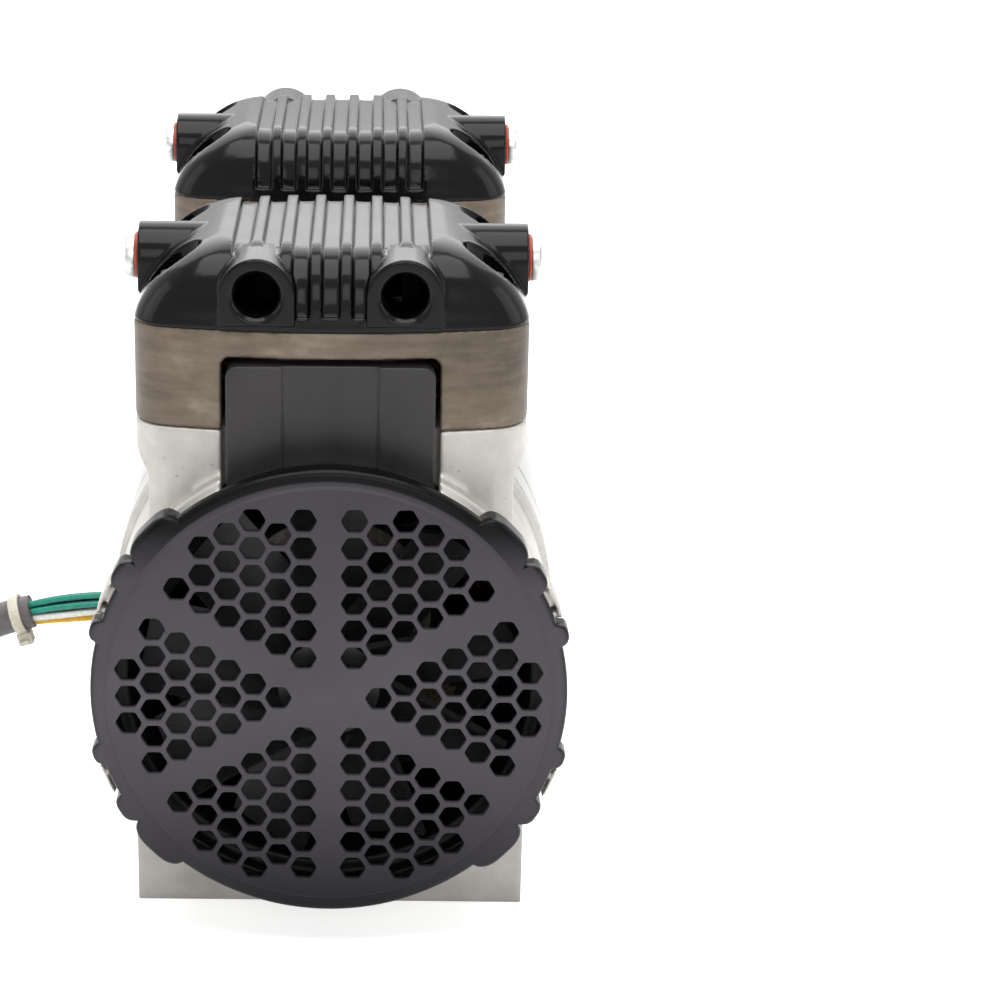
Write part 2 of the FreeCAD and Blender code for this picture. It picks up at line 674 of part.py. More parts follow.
def window(depth0, depth1):
    """A window through the block's wall, open below, with rounded upper corners."""
    half = WINDOW_HALF_WIDTH
    top = BLOCK_FLOOR + WINDOW_HEIGHT
    round_off = WINDOW_CORNER * (1 - math.sqrt(0.5))
    steps = [
        (-half, BLOCK_FLOOR - 1),
        (half, BLOCK_FLOOR - 1),
        (half, top - WINDOW_CORNER),
        ((half - round_off, top - round_off), (half - WINDOW_CORNER, top)),
        (-half + WINDOW_CORNER, top),
        ((-half + round_off, top - round_off), (-half, top - WINDOW_CORNER)),
    ]
    return extruded_along_y(steps, depth0, depth1)


def cylinder_block():
    """A jacketed cylinder: finned barrel inside a walled block with a window at front and back."""
    jacket = bowed_plan(0, BLOCK_FLOOR, TOP_OF_BLOCK)
    room = bowed_plan(BLOCK_WALL, BLOCK_FLOOR - 1, TOP_OF_BLOCK - BLOCK_TOP_PLATE)
    jacket = jacket.cut(room)
    front = BLOCK_FRONT - 1
    back = 2 * HEAD_DEPTH - front
    jacket = jacket.cut(window(front, HEAD_DEPTH)).cut(window(HEAD_DEPTH, back))
    barrel = cylinder_z(BORE_RADIUS + BARREL_WALL, BLOCK_FLOOR, TOP_OF_BLOCK, 0, HEAD_DEPTH)
    fins = []
    fin_room = BLOCK_HEIGHT - BLOCK_TOP_PLATE
    fin_radius = BORE_RADIUS + BARREL_WALL + FIN_REACH
    for index in range(FIN_COUNT):
        height = BLOCK_FLOOR + fin_room * (index + 1) / (FIN_COUNT + 1) - FIN_THICKNESS / 2
        fins.append(cylinder_z(fin_radius, height, height + FIN_THICKNESS, 0, HEAD_DEPTH))
    columns = []
    holes = [cylinder_z(BORE_RADIUS, BLOCK_FLOOR - 1, TOP_OF_BLOCK + 1, 0, HEAD_DEPTH)]
    for x, depth in screw_places():
        columns.append(cylinder_z(SCREW_BOSS_RADIUS, BLOCK_FLOOR, TOP_OF_BLOCK, x, depth))
        holes.append(cylinder_z(SCREW_HOLE_RADIUS, BLOCK_FLOOR - 1, TOP_OF_BLOCK + 1, x, depth))
    body = fuse([jacket, barrel] + fins + columns)
    return body.cut(fuse(holes)).cut(cylinder_seal())


def air_duct():
    """A moulded channel, open below and behind, that leads fan air up into the block's window."""
    half = WINDOW_HALF_WIDTH - DUCT_CLEARANCE
    top = BLOCK_FLOOR + WINDOW_HEIGHT - DUCT_TOP_GAP
    bottom = BLOCK_FLOOR - DUCT_DROP
    back = HEAD_DEPTH - BORE_RADIUS - BARREL_WALL - FIN_REACH - DUCT_FIN_GAP
    def arch(inset, start, end):
        corner = DUCT_CORNER - inset / 2
        width = half - inset
        height = top - inset
        round_off = corner * (1 - math.sqrt(0.5))
        steps = [
            (-width, bottom - inset),
            (width, bottom - inset),
            (width, height - corner),
            ((width - round_off, height - round_off), (width - corner, height)),
            (-width + corner, height),
            ((-width + round_off, height - round_off), (-width, height - corner)),
        ]
        return extruded_along_y(steps, start, end)
    outside = arch(0, DUCT_START, back)
    channel = arch(DUCT_WALL, DUCT_START + DUCT_WALL, back + 1)
    panel = DUCT_PANEL_HALF_WIDTH
    recess = box(-panel, panel, DUCT_START - 1, DUCT_START + DUCT_PANEL_RECESS, bottom - 1, top + 1)
    return outside.cut(channel).cut(recess)


def head_profiles(inset):
    """The head's two section outlines, across and along, drawn smaller by inset."""
    base = TOP_OF_BLOCK
    top = HEAD_TOP - inset
    skirt = base + HEAD_SKIRT
    half = BLOCK_HALF_WIDTH - inset
    flat = HEAD_TOP_HALF_WIDTH
    shoulder = half - HEAD_DRAFT
    bulge = (flat + (shoulder - flat) * 0.59, skirt + (top - skirt) * 0.66)
    across = [
        (-half, base),
        (half, base),
        (shoulder, skirt),
        (bulge, (flat, top)),
        (-flat, top),
        ((-bulge[0], bulge[1]), (-shoulder, skirt)),
    ]
    front = BLOCK_FRONT + inset
    back = 2 * HEAD_DEPTH - front
    flat_front = HEAD_DEPTH - HEAD_TOP_HALF_DEPTH
    flat_back = HEAD_DEPTH + HEAD_TOP_HALF_DEPTH
    roll = (front + (flat_front - front) * 0.32, skirt + (top - skirt) * 0.72)
    along = [
        (front, base),
        (front, skirt),
        (roll, (flat_front, top)),
        (flat_back, top),
        ((2 * HEAD_DEPTH - roll[0], roll[1]), (back, skirt)),
        (back, base),
    ]
    return across, along


def head_shape(inset):
    across, along = head_profiles(inset)
    body = extruded_along_y(across, BLOCK_FRONT - 1, 2 * HEAD_DEPTH - BLOCK_FRONT + 1)
    return body.common(extruded_along_x(along, BLOCK_HALF_WIDTH + 1))


def head_valleys():
    """Shallow channels over the top and down the sides, cut to a constant depth."""
    core = extruded_along_x(head_profiles(VALLEY_DEPTH)[1], BLOCK_HALF_WIDTH)
    strips = []
    for index in range(VALLEY_COUNT):
        middle = (index - (VALLEY_COUNT - 1) / 2) * VALLEY_PITCH
        left = middle - VALLEY_WIDTH / 2
        strips.append(box(
            left, left + VALLEY_WIDTH, BLOCK_FRONT - 1, 2 * HEAD_DEPTH - BLOCK_FRONT + 1,
            TOP_OF_BLOCK + VALLEY_START, HEAD_TOP + 1,
        ))
    return Part.makeCompound(strips).cut(core)


def chambers(bottom, top):
    """The rooms over the intake holes and the discharge hole, either side of the middle rib."""
    front = HEAD_DEPTH - CHAMBER_HALF_DEPTH
    back = HEAD_DEPTH + CHAMBER_HALF_DEPTH
    near = CHAMBER_RIB / 2
    far = near + CHAMBER_WIDTH
    return [box(-far, -near, front, back, bottom, top), box(near, far, front, back, bottom, top)]


def head():
    """A cast head: pillow-shaped, ribbed, with two front ports, two side ports and four screw wells."""
    body = head_shape(0).common(bowed_plan(0, TOP_OF_BLOCK, HEAD_TOP))
    body = body.cut(head_valleys())
    skirt_top = TOP_OF_BLOCK + HEAD_SKIRT
    bosses = []
    chamber_front = HEAD_DEPTH - CHAMBER_HALF_DEPTH
    for x in (-PORT_X, PORT_X):
        bosses.append(cylinder_y(PORT_BOSS_RADIUS, PORT_FACE, chamber_front, x, PORT_AXIS))
        bosses.append(box(
            x - PORT_BOSS_RADIUS, x + PORT_BOSS_RADIUS, PORT_FACE, chamber_front,
            skirt_top - 1, PORT_AXIS,
        ))
    for start, end in ((-SIDE_BOSS_REACH, -CHAMBER_WIDTH), (CHAMBER_WIDTH, SIDE_BOSS_REACH)):
        bosses.append(cylinder_x(SIDE_BOSS_RADIUS, start, end, HEAD_DEPTH, PORT_AXIS))
        bosses.append(box(
            start, end, HEAD_DEPTH - SIDE_BOSS_RADIUS, HEAD_DEPTH + SIDE_BOSS_RADIUS,
            skirt_top - 1, PORT_AXIS,
        ))
    body = fuse([body] + bosses)
    cuts = [bowed_plan(HEAD_WALL, TOP_OF_BLOCK - 1, CHAMBER_FLOOR)]
    cuts.extend(chambers(CHAMBER_FLOOR - 1, CHAMBER_FLOOR + CHAMBER_HEIGHT))
    for side in (-1, 1):
        x = side * PORT_X
        cuts.append(cylinder_y(PORT_RADIUS, PORT_FACE - 1, chamber_front + 1, x, PORT_AXIS))
        mouth = V(x, at(PORT_FACE), PORT_AXIS)
        cuts.append(Part.makeCone(PORT_MOUTH_RADIUS, PORT_RADIUS, PORT_MOUTH_DEPTH, mouth, V(0, 1, 0)))
        outside = V(side * (SIDE_BOSS_REACH + 1), at(HEAD_DEPTH), PORT_AXIS)
        reach = SIDE_BOSS_REACH - CHAMBER_WIDTH + 2
        cuts.append(Part.makeCylinder(PORT_RADIUS, reach, outside, V(-side, 0, 0)))
    floor = TOP_OF_BLOCK + COUNTERBORE_FLOOR
    for x, depth in screw_places():
        cuts.append(cylinder_z(SCREW_HOLE_RADIUS, TOP_OF_BLOCK - 1, HEAD_TOP, x, depth))
        cuts.append(cylinder_z(COUNTERBORE_RADIUS, floor, HEAD_TOP + 1, x, depth))
    return body.cut(fuse(cuts))


def head_screws():
    """Four socket screws that clamp head, plate and block to the crankcase."""
    floor = TOP_OF_BLOCK + COUNTERBORE_FLOOR
    top = floor + SCREW_HEAD_HEIGHT
    screws = []
    for x, depth in screw_places():
        shank = cylinder_z(SCREW_RADIUS, BLOCK_FLOOR - SCREW_GRIP, floor, x, depth)
        cap = cylinder_z(SCREW_HEAD_RADIUS, floor, top, x, depth)
        socket = cylinder_z(SCREW_SOCKET_RADIUS, floor + SCREW_HEAD_HEIGHT / 2, top + 1, x, depth)
        screws.append(fuse([shank, cap]).cut(socket))
    return screws


def port_plug(side):
    """A socket plug screwed into a side port."""
    start = SIDE_BOSS_REACH + SEAL_THICKNESS
    centre = V(side * start, at(HEAD_DEPTH), PORT_AXIS)
    cap = Part.makeCylinder(PLUG_RADIUS, PLUG_HEAD, centre, V(side, 0, 0))
    shank = Part.makeCylinder(PORT_RADIUS - PLUG_SHANK_CLEARANCE, PLUG_SHANK, centre, V(-side, 0, 0))
    socket = hexagon(PLUG_SOCKET_FLATS, 0, SHAFT_HEIGHT, 0, PLUG_SOCKET_DEPTH + 1)
    socket.translate(V(0, -at(0), -SHAFT_HEIGHT))
    socket.rotate(V(0, 0, 0), V(0, 0, 1), 90 * side)
    socket.translate(V(side * (start + PLUG_HEAD + 1), at(HEAD_DEPTH), PORT_AXIS))
    return fuse([cap, shank]).cut(socket)


def plug_seal(side):
    start = V(side * SIDE_BOSS_REACH, at(HEAD_DEPTH), PORT_AXIS)
    direction = V(side, 0, 0)
    ring = Part.makeCylinder(SEAL_RADIUS, SEAL_THICKNESS, start, direction)
    return ring.cut(Part.makeCylinder(PORT_RADIUS, SEAL_THICKNESS, start, direction))


def valve_plate():
    """A flat steel plate with intake and discharge holes, let into the head's underside."""
    plate = bowed_plan(HEAD_WALL + PLATE_CLEARANCE, TOP_OF_BLOCK, PLATE_TOP)
    holes = []
    below = TOP_OF_BLOCK - 1
    above = PLATE_TOP + 1
    for depth in (HEAD_DEPTH - INTAKE_HOLE_OFFSET, HEAD_DEPTH + INTAKE_HOLE_OFFSET):
        holes.append(cylinder_z(INTAKE_HOLE_RADIUS, below, above, -VALVE_X, depth))
    holes.append(cylinder_z(DISCHARGE_HOLE_RADIUS, below, above, VALVE_X, HEAD_DEPTH))
    for x, depth in screw_places():
        holes.append(cylinder_z(SCREW_HOLE_RADIUS, below, above, x, depth))
    return plate.cut(fuse(holes))


def head_gasket():
    """A thin gasket between plate and head, open below both chambers."""
    sheet = bowed_plan(HEAD_WALL + PLATE_CLEARANCE, PLATE_TOP, CHAMBER_FLOOR)
    holes = chambers(PLATE_TOP - 1, CHAMBER_FLOOR + 1)
    for x, depth in screw_places():
        holes.append(cylinder_z(SCREW_HOLE_RADIUS, PLATE_TOP - 1, CHAMBER_FLOOR + 1, x, depth))
    return sheet.cut(fuse(holes))


def reed(x, bottom):
    """A spring-steel flap, round at its free end, that bends from its clamped tail."""
    tail = HEAD_DEPTH - REED_LENGTH / 2 - REED_TAIL
    tip = HEAD_DEPTH + REED_LENGTH / 2 - REED_HALF_WIDTH
    strip = box(x - REED_HALF_WIDTH, x + REED_HALF_WIDTH, tail, tip, bottom, bottom + REED_THICKNESS)
    end = cylinder_z(REED_HALF_WIDTH, bottom, bottom + REED_THICKNESS, x, tip)
    return fuse([strip, end])


def valve_stop():
    """A sloping stop that limits the discharge reed's lift, with its foot on the plate."""
    bottom = PLATE_TOP + REED_THICKNESS
    tail = HEAD_DEPTH - REED_LENGTH / 2 - REED_TAIL
    tip = HEAD_DEPTH + REED_LENGTH / 2
    steps = [
        (tail - STOP_FOOT, PLATE_TOP),
        (tail - STOP_GAP, PLATE_TOP),
        (tail - STOP_GAP, bottom),
        (tip, bottom + STOP_RISE),
        (tip, bottom + STOP_RISE + STOP_THICKNESS),
        (tail - STOP_FOOT, bottom + STOP_THICKNESS),
    ]
    plate = extruded_along_x(steps, REED_HALF_WIDTH)
    plate.translate(V(VALVE_X, 0, 0))
    return plate


def bearing_ring(outer, inner, start, width, z=SHAFT_HEIGHT):
    return ring_y(outer, inner, start, start + width, 0, z)


def race_radius(bore, outside):
    return bore + (outside - bore) * RACE_WALL_SHARE


def main_bearing_rings():
    split = race_radius(MAIN_BEARING_BORE, MAIN_BEARING_OUTSIDE)
    outer = bearing_ring(MAIN_BEARING_OUTSIDE, split + RACE_GAP / 2, MAIN_BEARING_START, MAIN_BEARING_WIDTH)
    inner = bearing_ring(split - RACE_GAP / 2, MAIN_BEARING_BORE, MAIN_BEARING_START, MAIN_BEARING_WIDTH)
    return outer, inner


def rod_bearing_rings(crank_z):
    split = race_radius(ROD_BEARING_BORE, ROD_BEARING_OUTSIDE)
    start = HEAD_DEPTH - ROD_BEARING_WIDTH / 2
    outer = bearing_ring(ROD_BEARING_OUTSIDE, split + RACE_GAP / 2, start, ROD_BEARING_WIDTH, crank_z)
    inner = bearing_ring(split - RACE_GAP / 2, ROD_BEARING_BORE, start, ROD_BEARING_WIDTH, crank_z)
    return outer, inner


def eccentric(crank):
    """An offset seat for the rod bearing with a counterweight on the opposite side."""
    seat_end = MAIN_BEARING_START - WEIGHT_GAP
    seat_start = HEAD_DEPTH - ROD_BEARING_WIDTH / 2
    seat_back = seat_start + ROD_BEARING_WIDTH
    weight_end = WEIGHT_START + WEIGHT_THICKNESS
    crank_z = SHAFT_HEIGHT + crank
    seat = cylinder_y(ROD_BEARING_BORE, seat_start, seat_back, 0, crank_z)
    shoulder = cylinder_y(ROD_BEARING_BORE + SHOULDER_RISE, weight_end, seat_start, 0, crank_z)
    spacer = cylinder_y(MAIN_BEARING_BORE + SHOULDER_RISE, seat_back, seat_end)
    down = -90 if crank > 0 else 90
    weight = sector(
        HUB_RADIUS - 2, WEIGHT_RADIUS, down - WEIGHT_HALF_ANGLE, down + WEIGHT_HALF_ANGLE,
        WEIGHT_START, weight_end,
    )
    hub = cylinder_y(HUB_RADIUS, WEIGHT_START, weight_end)
    body = fuse([seat, shoulder, spacer, weight, hub])
    bore = cylinder_y(SHAFT_STUB_RADIUS, WEIGHT_START - 1, seat_end + 1)
    direction = V(0, 0, 1 if crank > 0 else -1)
    middle = at(WEIGHT_START + WEIGHT_THICKNESS / 2)
    tapped = Part.makeCylinder(SET_SCREW_RADIUS, HUB_RADIUS + 1, V(0, middle, SHAFT_HEIGHT), direction)
    return body.cut(bore).cut(tapped)


def set_screw(crank):
    """A grub screw that locks the eccentric to the shaft."""
    sign = 1 if crank > 0 else -1
    middle = at(WEIGHT_START + WEIGHT_THICKNESS / 2)
    base = V(0, middle, SHAFT_HEIGHT + sign * SHAFT_STUB_RADIUS)
    length = HUB_RADIUS - SHAFT_STUB_RADIUS - SET_SCREW_SINK
    return Part.makeCylinder(SET_SCREW_RADIUS, length, base, V(0, 0, sign))


def shaft():
    """A stepped shaft: rotor seat, two bearing seats and two stubs for eccentrics and fans."""
    seat_start = MAIN_BEARING_START - WEIGHT_GAP
    half = LENGTH / 2
    steps = [
        (SHAFT_END, 0),
        (SHAFT_END, SHAFT_STUB_RADIUS - SHAFT_CHAMFER),
        (SHAFT_END + SHAFT_CHAMFER, SHAFT_STUB_RADIUS),
        (seat_start, SHAFT_STUB_RADIUS),
        (seat_start, MAIN_BEARING_BORE),
        (SHAFT_CORE_START, MAIN_BEARING_BORE),
        (SHAFT_CORE_START, SHAFT_CORE_RADIUS),
        (half, SHAFT_CORE_RADIUS),
        (half, 0),
    ]
    front = revolved_about_shaft(steps)
    return fuse([front, mirrored(front)])


def fan():
    """An axial fan with cambered blades on a round hub."""
    end = FAN_START + FAN_WIDTH
    hub = cylinder_y(FAN_HUB_RADIUS, FAN_START, end)
    chord = BLADE_CHORD_SHARE * FAN_WIDTH / math.sin(math.radians(BLADE_PITCH_ANGLE))
    half = chord / 2
    thick = BLADE_THICKNESS / 2
    root = FAN_HUB_RADIUS - 3
    section = [
        (-half, -thick),
        ((0, BLADE_CAMBER - thick), (half, -thick)),
        (half, thick),
        ((0, BLADE_CAMBER + thick), (-half, thick)),
    ]
    face = face_of(section, lambda along, out: V(along, out, root))
    blade = face.extrude(V(0, 0, FAN_RADIUS))
    blade.rotate(V(0, 0, 0), V(0, 0, 1), BLADE_PITCH_ANGLE)
    blade.translate(V(0, at(FAN_START + FAN_WIDTH / 2), SHAFT_HEIGHT))
    blade = blade.common(cylinder_y(FAN_RADIUS, FAN_START, end))
    blades = [turned(blade, 360 * index / BLADE_COUNT) for index in range(BLADE_COUNT)]
    body = fuse([hub] + blades)
    return body.cut(cylinder_y(SHAFT_STUB_RADIUS, FAN_START - 1, end + 1))


def fan_clip():
    """A ring clip on the shaft in front of the fan's hub."""
    return ring_y(CLIP_RADIUS, SHAFT_STUB_RADIUS, FAN_START - CLIP_THICKNESS, FAN_START)


def fan_spacer():
    """A sleeve on the shaft between the fan's hub and the counterweight."""
    return ring_y(CLIP_RADIUS, SHAFT_STUB_RADIUS, FAN_START + FAN_WIDTH, WEIGHT_START)


def connecting_rod(crank):
    """A rod of I section with the bearing eye below and the round crown plate above, in one piece."""
    crank_z = SHAFT_HEIGHT + crank
    crown = CROWN_BASE - CRANK_RADIUS + crank
    start = HEAD_DEPTH - ROD_WIDTH / 2
    eye = cylinder_y(ROD_EYE_RADIUS, start, start + ROD_WIDTH, 0, crank_z)
    half = ROD_SHANK_THICKNESS / 2
    width = ROD_SHANK_HALF_WIDTH
    shank = box(-width, width, HEAD_DEPTH - half, HEAD_DEPTH + half, crank_z, crown)
    inner = width - ROD_FLANGE
    pocket_floor = crank_z + ROD_EYE_RADIUS + ROD_FLANGE
    pockets = []
    for side in (-1, 1):
        near = HEAD_DEPTH + side * ROD_WEB_THICKNESS / 2
        far = HEAD_DEPTH + side * (half + 1)
        pockets.append(box(-inner, inner, min(near, far), max(near, far), pocket_floor, crown - ROD_FLARE))
    plate = cylinder_z(CROWN_RADIUS, crown, crown + CROWN_THICKNESS, 0, HEAD_DEPTH)
    flare_base = V(0, at(HEAD_DEPTH), crown - ROD_FLARE)
    flare = Part.makeCone(width, width + ROD_FLARE, ROD_FLARE, flare_base, V(0, 0, 1))
    body = fuse([eye, shank.cut(fuse(pockets)), plate, flare])
    bore = cylinder_y(ROD_BEARING_OUTSIDE, start - 1, start + ROD_WIDTH + 1, 0, crank_z)
    screw_top = crown + CROWN_THICKNESS + 1
    screw_end = screw_top - RETAINER_SCREW_LENGTH
    tapped = cylinder_z(RETAINER_SCREW_RADIUS, screw_end, screw_top, 0, HEAD_DEPTH)
    return body.cut(bore).cut(tapped)


def piston_cup(crank):
    """The flexible cup that seals the crown in the bore, with its lip turned up."""
    bottom = CROWN_BASE - CRANK_RADIUS + crank + CROWN_THICKNESS
    outer = BORE_RADIUS - CUP_CLEARANCE
    cup = cylinder_z(outer, bottom, bottom + CUP_LIP, 0, HEAD_DEPTH)
    floor = bottom + CUP_THICKNESS
    cup = cup.cut(cylinder_z(outer - CUP_THICKNESS, floor, bottom + CUP_LIP + 1, 0, HEAD_DEPTH))
    return cup.cut(cylinder_z(RETAINER_SCREW_RADIUS, bottom - 1, bottom + CUP_LIP, 0, HEAD_DEPTH))


def cup_retainer(crank):
    """The disc that clamps the cup on the crown."""
    bottom = CROWN_BASE - CRANK_RADIUS + crank + CROWN_THICKNESS + CUP_THICKNESS
    top = bottom + RETAINER_THICKNESS
    sink_radius = RETAINER_SCREW_HEAD + RETAINER_SINK_CLEARANCE
    disc = cylinder_z(RETAINER_RADIUS, bottom, top, 0, HEAD_DEPTH)
    hole = cylinder_z(RETAINER_SCREW_RADIUS, bottom - 1, top + 1, 0, HEAD_DEPTH)
    sink = cylinder_z(sink_radius, bottom + RETAINER_SEAT, top + 1, 0, HEAD_DEPTH)
    return disc.cut(hole).cut(sink)


def retainer_screw(crank):
    """The screw through disc and cup into the crown."""
    crown_top = CROWN_BASE - CRANK_RADIUS + crank + CROWN_THICKNESS
    seat = crown_top + CUP_THICKNESS + RETAINER_SEAT
    top = seat + RETAINER_SCREW_HEAD_HEIGHT
    end = crown_top + 1 - RETAINER_SCREW_LENGTH
    shank = cylinder_z(RETAINER_SCREW_RADIUS, end, seat, 0, HEAD_DEPTH)
    cap = cylinder_z(RETAINER_SCREW_HEAD, seat, top, 0, HEAD_DEPTH)
    socket = cylinder_z(RETAINER_SOCKET_RADIUS, seat + 1, top + 1, 0, HEAD_DEPTH)
    return fuse([shank, cap]).cut(socket)


def cylinder_seal():
    """A seal ring in a groove on top of the block, round the bore."""
    inner = BORE_RADIUS + SEAL_RING_INSET
    bottom = TOP_OF_BLOCK - SEAL_RING_DEPTH
    ring = cylinder_z(inner + SEAL_RING_WIDTH, bottom, TOP_OF_BLOCK, 0, HEAD_DEPTH)
    return ring.cut(cylinder_z(inner, bottom - 1, TOP_OF_BLOCK + 1, 0, HEAD_DEPTH))


def motor_shell():
    """The motor's round housing with a turned groove near each end and the hole for the leads."""
    end = LENGTH - CRANKCASE_END
    groove0 = CRANKCASE_END + SHELL_GROOVE_OFFSET
    groove1 = end - SHELL_GROOVE_OFFSET
    shell = ring_y(SHELL_RADIUS, SHELL_BORE, CRANKCASE_END, end)
    cuts = []
    for middle in (groove0, groove1):
        start = middle - SHELL_GROOVE_WIDTH / 2
        floor = SHELL_RADIUS - SHELL_GROOVE_DEPTH
        cuts.append(ring_y(SHELL_RADIUS + 1, floor, start, start + SHELL_GROOVE_WIDTH))
    exit_x = -SHELL_RADIUS - 1
    cuts.append(cylinder_x(GROMMET_NECK_RADIUS, exit_x, -STATOR_YOKE_BORE, LEAD_EXIT_DEPTH, LEAD_HEIGHT))
    return shell.cut(Part.makeCompound(cuts))


def stator_core():
    """The laminated ring with inward teeth, each with a wider tip."""
    yoke = ring_y(SHELL_BORE, STATOR_YOKE_BORE, STACK_START, STACK_END)
    teeth = []
    for index in range(TOOTH_COUNT):
        tooth = box(
            -TOOTH_WIDTH / 2, TOOTH_WIDTH / 2, STACK_START, STACK_END,
            SHAFT_HEIGHT + STATOR_BORE - 2, SHAFT_HEIGHT + STATOR_YOKE_BORE + 1,
        )
        tip = box(
            -TOOTH_TIP_WIDTH / 2, TOOTH_TIP_WIDTH / 2, STACK_START, STACK_END,
            SHAFT_HEIGHT + STATOR_BORE - 2, SHAFT_HEIGHT + STATOR_BORE + TOOTH_TIP,
        )
        for piece in (tooth, tip):
            teeth.append(turned(piece, 360 * index / TOOTH_COUNT))
    core = fuse([yoke] + teeth)
    holes = [cylinder_y(STATOR_BORE, STACK_START - 1, STACK_END + 1)]
    for x, z in tie_bolt_places():
        holes.append(cylinder_y(TIE_BOLT_HOLE, STACK_START - 1, STACK_END + 1, x, z))
    return core.cut(fuse(holes))


def stator_coils():
    """One coil round each tooth."""
    coils = []
    bottom = SHAFT_HEIGHT + STATOR_BORE + TOOTH_TIP + COIL_TIP_GAP
    top = SHAFT_HEIGHT + STATOR_YOKE_BORE - COIL_YOKE_GAP
    inside = TOOTH_WIDTH / 2
    outside = inside + COIL_THICKNESS
    start = STACK_START - COIL_OVERHANG
    end = STACK_END + COIL_OVERHANG
    for index in range(TOOTH_COUNT):
        outer = box(-outside, outside, start, end, bottom, top)
        edges = [edge for edge in outer.Edges if edge.BoundBox.ZLength > (top - bottom) / 2]
        outer = outer.makeFillet(COIL_CORNER, edges)
        inner = box(-inside, inside, STACK_START, STACK_END, bottom - 1, top + 1)
        coils.append(turned(outer.cut(inner), 360 * index / TOOTH_COUNT))
    return coils


def hall_board():
    """The ring-shaped sensor board on the rear faces of the coils."""
    start = STACK_END + COIL_OVERHANG
    return ring_y(BOARD_OUTER_RADIUS, BOARD_INNER_RADIUS, start, start + BOARD_THICKNESS)


def tie_bolts():
    """Long bolts that pull both crankcases against the motor's shell."""
    bolts = []
    start = WEB_START
    end = LENGTH - WEB_START
    for x, z in tie_bolt_places():
        shank = cylinder_y(TIE_BOLT_RADIUS, start, end + TIE_NUT_HEIGHT, x, z)
        cap = cylinder_y(TIE_BOLT_HEAD_RADIUS, start - TIE_BOLT_HEAD_HEIGHT, start, x, z)
        nut = hexagon(TIE_NUT_FLATS, x, z, end, end + TIE_NUT_HEIGHT)
        bolts.append(fuse([shank, cap, nut]))
    return bolts


def rotor_core():
    return ring_y(ROTOR_RADIUS - MAGNET_THICKNESS, SHAFT_CORE_RADIUS, STACK_START, STACK_END)


def rotor_magnets():
    """Arc magnets bonded round the rotor core."""
    step = 360 / MAGNET_COUNT
    inner = ROTOR_RADIUS - MAGNET_THICKNESS
    magnets = []
    for index in range(MAGNET_COUNT):
        angle0 = index * step + MAGNET_GAP_ANGLE / 2
        angle1 = (index + 1) * step - MAGNET_GAP_ANGLE / 2
        magnets.append(sector(inner, ROTOR_RADIUS, angle0, angle1, STACK_START, STACK_END))
    return magnets


def wire_grommet():
    """A rubber grommet in the shell with a flange outside and inside."""
    outer_face = -SHELL_RADIUS - GROMMET_FLANGE
    inner_face = -SHELL_BORE + GROMMET_FLANGE
    neck = cylinder_x(GROMMET_NECK_RADIUS, outer_face, inner_face, LEAD_EXIT_DEPTH, LEAD_HEIGHT)
    flange = cylinder_x(GROMMET_FLANGE_RADIUS, outer_face, -SHELL_BORE, LEAD_EXIT_DEPTH, LEAD_HEIGHT)
    flange = flange.cut(cylinder_y(SHELL_RADIUS, CRANKCASE_END, LENGTH - CRANKCASE_END))
    bore = cylinder_x(GROMMET_BORE, outer_face - 1, inner_face + 1, LEAD_EXIT_DEPTH, LEAD_HEIGHT)
    return fuse([neck, flange]).cut(bore)


def motor_leads():
    """Separate insulated wires between the grommet and the sleeve."""
    wires = []
    length = WIRE_START_X - SLEEVE_START_X
    for index in range(WIRE_COUNT):
        turn = math.radians(360 * index / WIRE_COUNT)
        y = LEAD_Y + WIRE_RING_RADIUS * math.cos(turn)
        z = LEAD_HEIGHT + WIRE_RING_RADIUS * math.sin(turn)
        wires.append(Part.makeCylinder(WIRE_RADIUS, length, V(SLEEVE_START_X, y, z), V(1, 0, 0)))
    return wires


def rounded_path(points):
    """Straight runs joined by tangent arcs, each as large as its two runs allow."""
    edges = []
    radii = []
    here = points[0]
    for before, corner, after in zip(points, points[1:], points[2:]):
        back = (before - corner).normalize()
        ahead = (after - corner).normalize()
        turn = math.pi - back.getAngle(ahead)
        shorter = min(before.distanceToPoint(corner), after.distanceToPoint(corner))
        cut_back = ARC_SHARE * shorter
        radius = cut_back / math.tan(turn / 2)
        start = corner + back * cut_back
        end = corner + ahead * cut_back
        bisector = (back + ahead).normalize()
        reach = radius / math.cos(turn / 2) - radius
        middle = corner + bisector * reach
        edges.append(Part.LineSegment(here, start).toShape())
        edges.append(Part.Arc(start, middle, end).toShape())
        radii.append(round(radius, 1))
        here = end
    edges.append(Part.LineSegment(here, points[-1]).toShape())
    return Part.Wire(edges), radii


def cable_sleeve():
    """The sleeved bundle from its cut end down to the surface."""
    points = [V(x, LEAD_Y, z) for x, z in SLEEVE_ROUTE]
    path, radii = rounded_path(points)
    circle = Part.Wire(Part.makeCircle(SLEEVE_RADIUS, points[0], points[1] - points[0]))
    tube = path.makePipeShell([circle], True, False)
    section = math.pi * SLEEVE_RADIUS ** 2
    print("sleeve radii", radii, "volume ratio", round(tube.Volume / (section * path.Length), 4))
    return tube


def loop_place():
    """Centre of the stored loop, which touches the sleeve's line at the front."""
    end_x = SLEEVE_ROUTE[-1][0]
    return V(end_x - COIL_STUB, LEAD_Y + COIL_MID_RADIUS, SLEEVE_RADIUS)


def cable_loop():
    """The unseen length as one closed loop on the surface, with the stub that the sleeve meets."""
    centre = loop_place()
    ring = Part.makeTorus(COIL_MID_RADIUS, SLEEVE_RADIUS, centre, V(0, 0, 1))
    start = V(centre.x, LEAD_Y, SLEEVE_RADIUS)
    radius = SLEEVE_RADIUS - COIL_STUB_TAPER
    return ring.fuse(Part.makeCylinder(radius, COIL_STUB - COIL_STUB_GAP, start, V(1, 0, 0)))


